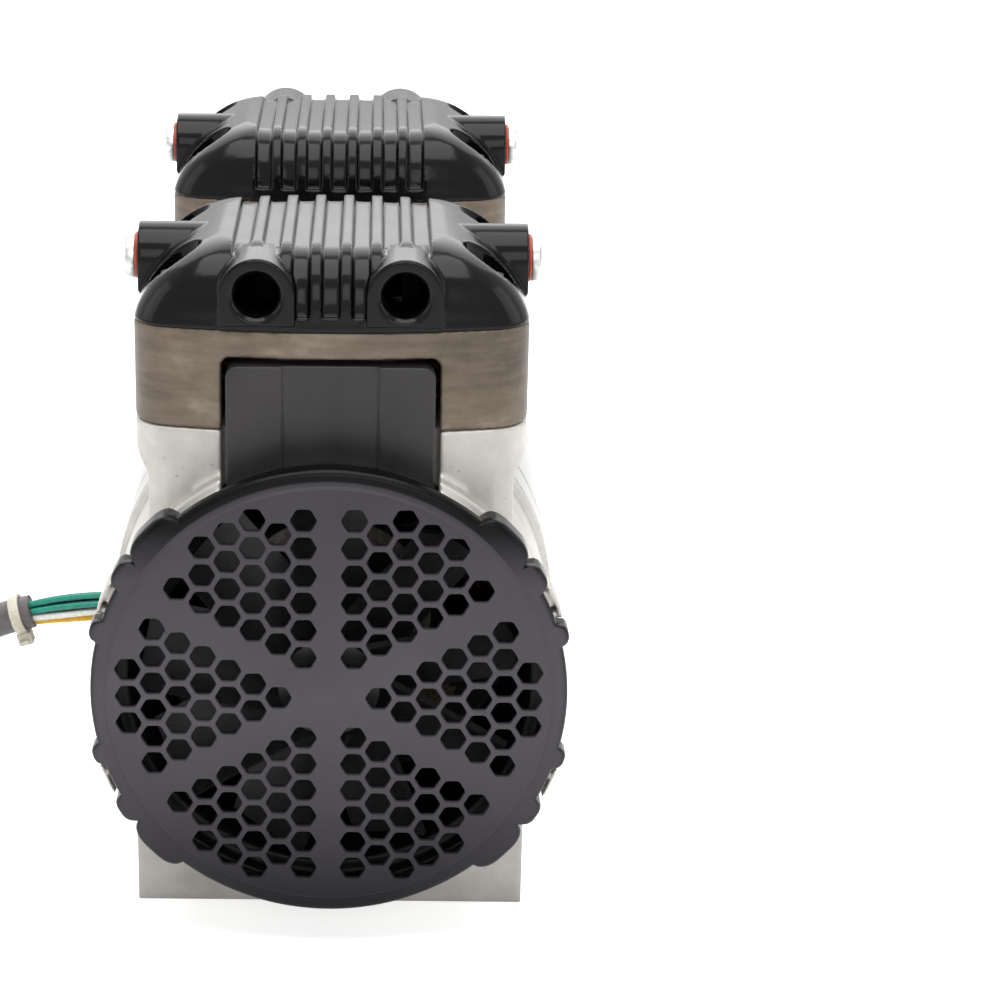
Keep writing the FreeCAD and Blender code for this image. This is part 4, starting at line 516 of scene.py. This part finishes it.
def arc_through(low, middle, high):
    """The middle and radius of the circle through three points."""
    (ax, az), (bx, bz), (cx, cz) = low, middle, high
    double = 2 * (ax * (bz - cz) + bx * (cz - az) + cx * (az - bz))
    a, b, c = ax * ax + az * az, bx * bx + bz * bz, cx * cx + cz * cz
    x = (a * (bz - cz) + b * (cz - az) + c * (az - bz)) / double
    z = (a * (cx - bx) + b * (ax - cx) + c * (bx - ax)) / double
    return x, z, math.hypot(ax - x, az - z)


SIDE_ARC = arc_through((0.0572, 0.0030), (0.0472, 0.0162), (0.0330, 0.0230))


def side_reach(height):
    """How far out the head's plain side is at a height above the block."""
    x, z, radius = SIDE_ARC
    return x + math.sqrt(radius ** 2 - (height - z) ** 2)


def front_reach(height):
    """How far out the head's plain front is at a height above the block, round from its flat top."""
    share = min(max((height - 0.0040) / 0.0190, 0.0), 1.0)
    return 0.0280 + 0.0178 * (1 - share ** 2.4) ** (1 / 2.4)


def pillow(inset):
    """The head's plain form, drawn up from the plan and in towards its flat top, smaller by the inset."""
    plan = block_plan()
    bpy.ops.mesh.primitive_circle_add(vertices=len(plan), fill_type="NGON")
    piece = bpy.context.object
    for vertex, (x, y) in zip(piece.data.vertices, plan):
        vertex.co = (x, PUMP_Y + y, BLOCK_TOP)
    bpy.ops.object.mode_set(mode="EDIT")
    bpy.ops.mesh.select_all(action="SELECT")
    width, depth, height = 0.058, 0.046, 0.0
    levels = [(0.0580, 0.0460, 0.0005), (0.0572, 0.0458, 0.0030)]
    steps = 30
    for step in range(1, steps + 1):
        rise = 0.0030 + 0.0200 * math.sin(math.pi / 2 * step / steps)
        levels.append((side_reach(rise), front_reach(rise), rise))
    for x, y, z in levels:
        bpy.ops.mesh.extrude_region_move(TRANSFORM_OT_translate={"value": (0, 0, z - height)})
        narrower = ((x - inset) / width, (y - inset) / depth, 1)
        bpy.ops.transform.resize(value=narrower, center_override=(0, PUMP_Y, 0))
        width, depth, height = x - inset, y - inset, z
    bpy.ops.mesh.select_all(action="SELECT")
    bpy.ops.mesh.normals_make_consistent(inside=False)
    leave_edit()
    return piece


def valley_tool():
    """Seven bars that follow the pillow at a constant depth, to cut the valleys between the ribs."""
    bars = []
    for index in range(7):
        middle = (index - 3) * 0.0087
        bars.append(block((middle - 0.0026, -0.140, BLOCK_TOP + 0.0045), (middle + 0.0026, -0.020, 0.220)))
    tool = joined(bars)
    core = pillow(0.0017)
    for vertex in core.data.vertices:
        vertex.co.z -= 0.0017
    combine(tool, core, "DIFFERENCE")
    return tool


def arched_boss(radius, start, end, foot):
    """A level bar with a round top and straight sides that run down to its foot."""
    boss = bar(radius, start, end)
    for vertex in boss.data.vertices:
        if vertex.co.z < start[2] - 0.00001:
            vertex.co.z = foot
    return boss


def make_heads(finishes):
    """The ribbed heads, cast with two front ports, two side ports and four screw wells."""
    head = pillow(0.0)
    combine(head, valley_tool(), "DIFFERENCE")
    foot = BLOCK_TOP + 0.0022
    for side in (-1, 1):
        x = side * PORT_X
        combine(head, arched_boss(FRONT_BOSS_RADIUS, (x, -0.130, PORT_AXIS), (x, -0.109, PORT_AXIS), foot), "UNION")
        inside, outside = (side * 0.031, PUMP_Y, PORT_AXIS), (side * SIDE_FACE, PUMP_Y, PORT_AXIS)
        combine(head, arched_boss(SIDE_BOSS_RADIUS, inside, outside, foot), "UNION")
    for x in (-WELL_X, WELL_X):
        for y in (PUMP_Y - WELL_SPREAD, PUMP_Y + WELL_SPREAD):
            combine(head, bar(WELL_RADIUS, (x, y, BLOCK_TOP + 0.007), (x, y, 0.22)), "DIFFERENCE")
    for side in (-1, 1):
        x = side * PORT_X
        near, far = sorted((side * 0.0025, side * 0.0335))
        low, high = (near, PUMP_Y - 0.027, BLOCK_TOP - 0.01), (far, PUMP_Y + 0.027, BLOCK_TOP + 0.0158)
        combine(head, block(low, high), "DIFFERENCE")
        combine(head, bar(0.0063, (x, -0.1315, PORT_AXIS), (x, -0.107, PORT_AXIS)), "DIFFERENCE")
        bpy.ops.mesh.primitive_cone_add(
            vertices=64, radius1=0.0095, radius2=0.0061, depth=0.0034, location=(x, -0.1300, PORT_AXIS),
            rotation=(-math.pi / 2, 0.0, 0.0),
        )
        bpy.ops.object.transform_apply(location=True, rotation=True)
        combine(head, bpy.context.object, "DIFFERENCE")
        inside, outside = (side * 0.032, PUMP_Y, PORT_AXIS), (side * 0.0595, PUMP_Y, PORT_AXIS)
        combine(head, bar(PORT_RADIUS, inside, outside), "DIFFERENCE")
    cast_skin(head, 0.00042, 9, 0.2)
    cover(head, finishes["enamel"])
    settle(head, "front_head_casting")
    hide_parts("front_head")
    rear_twin(head, "rear_head_casting", "rear_head")


# The rim from behind the flange to the disc: how deep behind the face, and how far from the shaft.
RIM_PROFILE = (
    (0.0102, 0.0676), (0.0096, 0.0676), (0.0055, 0.0676), (0.0050, 0.0703), (0.0032, 0.0703),
    (0.0023, 0.0701), (0.0016, 0.0696), (0.0012, 0.0689), (0.0011, 0.0680), (0.0011, 0.0662),
    (0.0010, 0.0657), (0.0002, 0.0651), (0.0, 0.0646),
)
# Each lobe's start and end in degrees, the degrees its ends take to round off, and its height.
LOBES = ((13.4, 18.9, 2.4, 0.0026), (28.0, 35.6, 3.0, 0.0030), (36.2, 51.2, 5.2, 0.0036))


def rim_swell(angle):
    """How far the cover's grip lobes stand out beyond its plain round, at an angle from the horizontal."""
    folded = abs((math.degrees(angle) + 90) % 180 - 90)
    swell = 0.0
    for start, end, round_off, height in LOBES:
        share = min(max(min(folded - start, end - folded) / round_off, 0.0), 1.0)
        swell = max(swell, height * math.sqrt(1 - (1 - share) ** 2))
    return swell


def hole_centres():
    """The middles of the holes: six triangular fields on one honeycomb pitch."""
    pitch = 0.0085
    for field in range(6):
        turn = math.radians(60 * field)
        for column in range(2, 9):
            count = 3 if column == 8 else column - 1
            for row in range(count):
                x = column * pitch * math.sqrt(3) / 2
                z = (row - (count - 1) / 2) * pitch
                yield x * math.cos(turn) - z * math.sin(turn), x * math.sin(turn) + z * math.cos(turn)


def ring_of_points(spline, places, x, z):
    """Closes an outline of straight sides through places round a middle."""
    spline.points.add(len(places) - 1)
    for point, (across, up) in zip(spline.points, places):
        point.co = (x + across, z + up, 0.0, 1.0)
    spline.use_cyclic_u = True


def rounded_hexagon(flats, corner):
    """The outline of a hole with six flats and rounded corners, its flats level at top and bottom."""
    places = []
    middle = flats / math.sqrt(3) - corner * 2 / math.sqrt(3)
    for index in range(6):
        turn = math.radians(60 * index)
        for swing in (-30, -10, 10, 30):
            bend = turn + math.radians(swing)
            x = middle * math.cos(turn) + corner * math.cos(bend)
            places.append((x, middle * math.sin(turn) + corner * math.sin(bend)))
    return places


def perforated_plate(face):
    """The cover's flat front: a round plate with six-sided holes and softened hole edges."""
    curve = bpy.data.curves.new("plate", "CURVE")
    curve.dimensions = "2D"
    curve.fill_mode = "BOTH"
    edge = 0.00030
    rim = [math.radians(2 * step) for step in range(180)]
    round_edge = [(0.0648 * math.cos(turn), 0.0648 * math.sin(turn)) for turn in rim]
    ring_of_points(curve.splines.new("POLY"), round_edge, 0.0, 0.0)
    hole = rounded_hexagon(0.0070 + 2 * edge, 0.0016)
    for x, z in hole_centres():
        ring_of_points(curve.splines.new("POLY"), hole, x, z)
    curve.extrude = 0.00125 - edge
    curve.bevel_depth = edge
    curve.bevel_resolution = 2
    plate = bpy.data.objects.new("plate", curve)
    bpy.context.scene.collection.objects.link(plate)
    plate.location = (0.0, face + 0.00125, SHAFT_HEIGHT)
    plate.rotation_euler = (math.pi / 2, 0.0, 0.0)
    selected_on(plate)
    bpy.ops.object.convert(target="MESH")
    bpy.ops.object.transform_apply(location=True, rotation=True, scale=True)
    return bpy.context.object


def make_covers(finishes):
    """The fan covers: a shallow moulded cap with a perforated face, a rounded rim and grip lobes."""
    face = -HALF_LENGTH
    cap = bar(0.0676, (0, face + 0.0150, SHAFT_HEIGHT), (0, face + 0.0108, SHAFT_HEIGHT), 540)
    pick_faces(cap, lambda centre, normal: normal.y < -0.9)
    depth, radius = 0.0108, 0.0676
    for next_depth, next_radius in RIM_PROFILE:
        bpy.ops.mesh.extrude_region_move(TRANSFORM_OT_translate={"value": (0, next_depth - depth, 0)})
        narrower = next_radius / radius
        bpy.ops.transform.resize(value=(narrower, 1, narrower), center_override=(0, 0, SHAFT_HEIGHT))
        depth, radius = next_depth, next_radius
    leave_edit()
    for vertex in cap.data.vertices:
        x, z = vertex.co.x, vertex.co.z - SHAFT_HEIGHT
        out = math.hypot(x, z)
        swell = rim_swell(math.atan2(z, x))
        back = vertex.co.y - face
        if swell > 0.0 and back > 0.0052:
            swell += (0.0027 if back < 0.0100 else 0.0021) * min(swell / 0.0020, 1.0)
        if out > 0.0665 and back < 0.0105:
            vertex.co.x = x * (1 + swell / out)
            vertex.co.z = SHAFT_HEIGHT + z * (1 + swell / out)
    for radius, front in ((0.0664, 0.0025), (0.0646, -0.0025)):
        bore = bar(radius, (0, face + 0.020, SHAFT_HEIGHT), (0, face + front, SHAFT_HEIGHT), 180)
        combine(cap, bore, "DIFFERENCE")
    combine(cap, notch_tool(face), "DIFFERENCE")
    cap = joined([cap, perforated_plate(face)])
    bpy.ops.object.shade_smooth_by_angle(angle=math.radians(35))
    cover(cap, finishes["cover"])
    settle(cap, "front_cover_moulding")
    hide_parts("front_fan_cover")
    rear_twin(cap, "rear_cover_moulding", "rear_fan_cover")


def notch_tool(face):
    """Four wedges that open the rim where the crankcase's lugs show."""
    wedges = []
    for side_x in (-1, 1):
        for side_z in (-1, 1):
            bpy.ops.mesh.primitive_circle_add(vertices=12, fill_type="NGON")
            wedge = bpy.context.object
            for index, vertex in enumerate(wedge.data.vertices):
                far = index >= 6
                step = 11 - index if far else index
                turn = math.radians(18.7 + 9.8 * step / 5)
                radius = 0.078 if far else 0.0662
                vertex.co = (
                    side_x * radius * math.cos(turn), face + 0.004,
                    SHAFT_HEIGHT + side_z * radius * math.sin(turn),
                )
            bpy.ops.object.mode_set(mode="EDIT")
            bpy.ops.mesh.select_all(action="SELECT")
            bpy.ops.mesh.extrude_region_move(TRANSFORM_OT_translate={"value": (0, 0.016, 0)})
            bpy.ops.mesh.select_all(action="SELECT")
            bpy.ops.mesh.normals_make_consistent(inside=False)
            leave_edit()
            wedges.append(wedge)
    return joined(wedges)


def merged_copy(name):
    """A copy of a node of the frame with its loose triangles sewn together."""
    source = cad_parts[name]
    piece = source.copy()
    piece.data = source.data.copy()
    piece.parent = None
    bpy.context.scene.collection.objects.link(piece)
    selected_on(piece)
    bpy.ops.object.mode_set(mode="EDIT")
    bpy.ops.mesh.select_all(action="SELECT")
    bpy.ops.mesh.remove_doubles(threshold=0.00001)
    bpy.ops.mesh.normals_make_consistent(inside=False)
    leave_edit()
    return piece


def make_casting(node, name, finish, grain, rounds, keep):
    """A pump casting with the hard corners of its frame node melted into fillets, and its rear twin."""
    piece = merged_copy("front_" + node)
    cast_skin(piece, grain, rounds, keep)
    cover(piece, finish)
    settle(piece, "front_" + name)
    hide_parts("front_" + node)
    rear_twin(piece, "rear_" + name, "rear_" + node)


def make_plugs(finishes):
    """Zinc-plated socket plugs in the side ports, each on a bead of red sealant."""
    plugs = []
    beads = []
    for y in (PUMP_Y, -PUMP_Y):
        for side in (-1, 1):
            face, out, bottom, rim = (side * (SIDE_FACE + reach) for reach in (0.0008, 0.0040, 0.0015, 0.0050))
            plug = bar(0.0070, (face, y, PORT_AXIS), (out, y, PORT_AXIS), 96)
            combine(plug, bar(0.0034, (bottom, y, PORT_AXIS), (rim, y, PORT_AXIS), 6), "DIFFERENCE")
            apply_modifier(plug, "BEVEL", width=0.0007, segments=3, limit_method="ANGLE")
            plugs.append(plug)
            bpy.ops.mesh.primitive_torus_add(
                major_radius=0.0064, minor_radius=0.0007, major_segments=96, minor_segments=16,
                location=(side * (SIDE_FACE + 0.0006), y, PORT_AXIS), rotation=(0.0, math.pi / 2, 0.0),
            )
            bpy.ops.object.transform_apply(location=True, rotation=True)
            beads.append(bpy.context.object)
    plug_set = joined(plugs)
    bpy.ops.object.shade_smooth_by_angle(angle=math.radians(35))
    cover(plug_set, finishes["zinc"])
    settle(plug_set, "socket_plugs")
    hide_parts("port_plugs")
    bead_set = joined(beads)
    bpy.ops.object.shade_smooth()
    cover(bead_set, finishes["sealant"])
    settle(bead_set, "sealant_beads")
    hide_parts("port_plug_seals")


LEAD_Y = -0.047
SLEEVE_RADIUS = 0.0055
LOOP_CENTRE = Vector((-0.2239, 0.013, 0.0055))
LOOP_RADIUS = 0.060
SLEEVE_ROUTE = (
    (-0.0994, 0.0705), (-0.1066, 0.0687), (-0.1165, 0.0648), (-0.1262, 0.0582), (-0.1338, 0.0492),
    (-0.1392, 0.0388), (-0.1448, 0.0280), (-0.1520, 0.0180), (-0.1623, 0.0103), (-0.1742, 0.0061),
    (-0.1869, 0.0055), (-0.2050, 0.0055),
)
TIE_PLACE = (-0.1040, LEAD_Y, 0.0693)
TIE_TILT = math.radians(-16)


def smooth_line(name, points, radius):
    """A round cord along a smooth line that is drawn towards these points."""
    curve = bpy.data.curves.new(name, "CURVE")
    curve.dimensions = "3D"
    curve.bevel_depth = radius
    curve.bevel_resolution = 6
    curve.use_fill_caps = True
    spline = curve.splines.new("NURBS")
    spline.points.add(len(points) - 1)
    for point, place in zip(spline.points, points):
        point.co = (*place, 1.0)
    spline.order_u = 3
    spline.use_endpoint_u = True
    spline.resolution_u = 8
    line = bpy.data.objects.new(name, curve)
    bpy.context.scene.collection.objects.link(line)
    return line


def lead_points():
    """The sleeve's way down to the surface, then one turn that closes inward beside its own start."""
    points = [Vector((x, LEAD_Y, z)) for x, z in SLEEVE_ROUTE]
    steps = 16
    for step in range(steps + 1):
        share = step / steps
        turn = 2 * math.pi * share
        radius = LOOP_RADIUS - 0.015 * max(0.0, share - 0.35) / 0.65
        points.append(LOOP_CENTRE + Vector((-math.sin(turn), -math.cos(turn), 0.0)) * radius)
    points[-1] = Vector((LOOP_CENTRE.x + 0.0125, -0.0305, SLEEVE_RADIUS))
    return points


def make_lead(finishes):
    """The motor's lead: six loose wires from the grommet, then a vinyl sleeve with a nylon tie."""
    sleeve = smooth_line("lead_sleeve", lead_points(), SLEEVE_RADIUS)
    sleeve.data.materials.append(finishes["sleeve"])
    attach(sleeve, "compressor body")
    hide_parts("cable_sleeve", "cable_loop")
    wires = make_wires(finishes)
    wires + [make_tie(finishes), "wire_grommet", make_connector(finishes)]


def make_wires(finishes):
    """Six wires that leave the grommet one above the other and draw together into the sleeve."""
    rows = (
        ("teal wire", -0.0010, 0.0038), ("blue wire", 0.0010, 0.0022),
        ("teal wire", -0.0016, 0.0009), ("black wire", 0.0004, -0.0008),
        ("white wire", -0.0012, -0.0022), ("yellow wire", -0.0004, -0.0040),
    )
    wires = []
    for index, (colour, across, up) in enumerate(rows):
        slack = 1.0 + 0.12 * math.sin(3 * index)
        stages = (
            (-0.0645, 0.0728, 0.75), (-0.0720, 0.0732, 0.9), (-0.0790, 0.0730, slack),
            (-0.0890, 0.0719, 1.0), (-0.0975, 0.0706, 0.86), (-0.1045, 0.0691, 0.7),
        )
        points = [(x, LEAD_Y + across * spread, z + up * spread) for x, z, spread in stages]
        wire = smooth_line("lead_wire_%d" % (index + 1), points, 0.00112)
        wire.data.materials.append(finishes[colour])
        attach(wire, "compressor body")
        wires.append(wire)
    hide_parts("motor_leads")
    return wires


def make_tie(finishes):
    """A nylon tie pulled round the sleeve's mouth, its lock and cut tail underneath."""
    outer = SLEEVE_RADIUS + 0.0012
    strap = bar(outer, (-0.0017, 0, 0), (0.0017, 0, 0), 96)
    combine(strap, bar(SLEEVE_RADIUS, (-0.01, 0, 0), (0.01, 0, 0), 96), "DIFFERENCE")
    lock = block((-0.0024, -0.0030, -outer - 0.0036), (0.0024, 0.0022, -outer + 0.0006))
    tail = block((-0.0016, -0.0058, -outer - 0.0024), (0.0016, -0.0028, -outer - 0.0013))
    tie = joined([strap, lock, tail])
    apply_modifier(tie, "BEVEL", width=0.0003, segments=2, limit_method="ANGLE")
    bpy.ops.object.shade_smooth_by_angle(angle=math.radians(35))
    tie.location = TIE_PLACE
    tie.rotation_euler = (0.0, TIE_TILT, 0.0)
    cover(tie, finishes["tie"])
    settle(tie, "sleeve_tie")
    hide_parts("cable_tie")
    return tie


def make_connector(finishes):
    """The lead's six-way connector: a housing with two rows of contact mouths and a latch on top."""
    low, high = (Vector(corner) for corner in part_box("cable_connector"))
    housing = block(low, high)
    for column in range(3):
        for row in range(2):
            x = low.x + 0.0050 + 0.0070 * column
            z = low.z + 0.0030 + 0.0050 * row
            mouth = block((x - 0.0022, high.y - 0.0090, z - 0.0018), (x + 0.0022, high.y + 0.001, z + 0.0018))
            combine(housing, mouth, "DIFFERENCE")
    middle = (low + high) / 2
    left, right = middle.x - 0.0030, middle.x + 0.0030
    arm = block((left, low.y + 0.0030, high.z - 0.0004), (right, high.y - 0.0010, high.z + 0.0012))
    barb = block((left, high.y - 0.0050, high.z), (right, high.y - 0.0030, high.z + 0.0022))
    housing = joined([housing, arm, barb])
    apply_modifier(housing, "BEVEL", width=0.0004, segments=2, limit_method="ANGLE")
    bpy.ops.object.shade_smooth_by_angle(angle=math.radians(35))
    cover(housing, finishes["connector"])
    settle(housing, "six_way_housing")
    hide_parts("cable_connector")
    return housing


def make_camera():
    """The photograph's viewpoint: a long lens, a little above and level with the front head."""
    camera = bpy.data.cameras.new("camera")
    camera.lens = 98.3
    camera.sensor_width = 36.0
    camera.shift_x = 0.150
    camera.clip_start = 0.05
    seat = bpy.data.objects.new("camera", camera)
    seat.location = (0.0128, -0.8826, 0.4030)
    seat.rotation_euler = (math.radians(70.69), math.radians(-0.311), math.radians(0.639))
    bpy.context.scene.collection.objects.link(seat)
    bpy.context.scene.camera = seat
    bpy.context.scene.view_settings.view_transform = "Standard"


def make_lamp(name, place, aim, size, power):
    """A softbox that faces a point."""
    light = bpy.data.lights.new(name, "AREA")
    light.shape = "RECTANGLE"
    light.size, light.size_y = size
    light.energy = power
    lamp = bpy.data.objects.new(name, light)
    lamp.location = place
    lamp.rotation_euler = (Vector(aim) - Vector(place)).to_track_quat("-Z", "Y").to_euler()
    bpy.context.scene.collection.objects.link(lamp)


def make_studio():
    """A white floor and surroundings with soft lamps above, in front and at both sides."""
    world = bpy.data.worlds.new("studio")
    bpy.context.scene.world = world
    world.use_nodes = True
    nodes, links = world.node_tree.nodes, world.node_tree.links
    nodes.clear()
    path = nodes.new("ShaderNodeLightPath")
    shown = nodes.new("ShaderNodeMath")
    shown.operation = "MAXIMUM"
    links.new(path.outputs["Is Camera Ray"], shown.inputs[0])
    links.new(path.outputs["Is Glossy Ray"], shown.inputs[1])
    clear = nodes.new("ShaderNodeMath")
    clear.operation = "MAXIMUM"
    links.new(shown.outputs[0], clear.inputs[0])
    links.new(path.outputs["Is Transmission Ray"], clear.inputs[1])
    strength = nodes.new("ShaderNodeMapRange")
    strength.inputs["To Min"].default_value = 0.3
    strength.inputs["To Max"].default_value = 1.0
    links.new(clear.outputs[0], strength.inputs["Value"])
    background = nodes.new("ShaderNodeBackground")
    background.inputs["Color"].default_value = (1.0, 1.0, 1.0, 1.0)
    links.new(strength.outputs["Result"], background.inputs["Strength"])
    output = nodes.new("ShaderNodeOutputWorld")
    links.new(background.outputs[0], output.inputs[0])

    bpy.ops.mesh.primitive_plane_add(size=8.0, location=(0.0, 0.0, 0.0))
    floor = bpy.context.object
    floor.name = "floor"
    paper, shader, place = new_material("white paper sweep")
    tooth = add(paper, "TexNoise", {"Vector": place, "Scale": 900.0, "Detail": 2.0}).outputs["Fac"]
    join(paper, ramp(paper, tooth, ((0.3, "#f4f4f4"), (0.7, "#fbfbfb"))), shader.inputs["Base Color"])
    shader.inputs["Roughness"].default_value = 0.9
    path = add(paper, "LightPath")
    rays = {0: path.outputs["Is Camera Ray"], 1: path.outputs["Is Glossy Ray"]}
    seen = add(paper, "Math", rays, operation="MAXIMUM")
    clear = path.outputs["Is Transmission Ray"]
    shown = add(paper, "Math", {0: seen.outputs["Value"], 1: clear}, operation="MAXIMUM").outputs["Value"]
    glow = add(paper, "MapRange", {"Value": shown, "To Max": 0.6}).outputs["Result"]
    shader.inputs["Emission Color"].default_value = (1.0, 1.0, 1.0, 1.0)
    join(paper, glow, shader.inputs["Emission Strength"])
    cover(floor, paper)

    make_lamp("overhead softbox", (0.0, -0.22, 1.25), (0.0, 0.0, 0.1), (1.1, 1.1), 18.0)
    make_lamp("rear softbox", (0.0, 1.05, 1.0), (0.0, 0.0, 0.15), (2.2, 1.2), 18.0)
    make_lamp("front softbox", (0.15, -1.5, 0.7), (0.0, 0.0, 0.1), (0.9, 0.7), 5.5)
    make_lamp("left softbox", (-1.3, -0.1, 0.6), (0.0, 0.0, 0.1), (0.8, 0.8), 2.6)
    make_lamp("right softbox", (1.3, -0.1, 0.6), (0.0, 0.0, 0.1), (0.8, 0.8), 3.0)


finishes = make_finishes()
dress_nodes(finishes)
make_camera()
make_lead(finishes)
make_heads(finishes)
make_covers(finishes)
make_casting("crankcase", "crankcase_casting", finishes["casting"], 0.0008, 4, 0.2)
make_casting("cylinder_block", "cylinder_casting", finishes["anodised"], 0.0007, 4, 0.35)
make_casting("air_duct", "duct_moulding", finishes["duct"], 0.0004, 5, 0.4)
make_plugs(finishes)
make_studio()
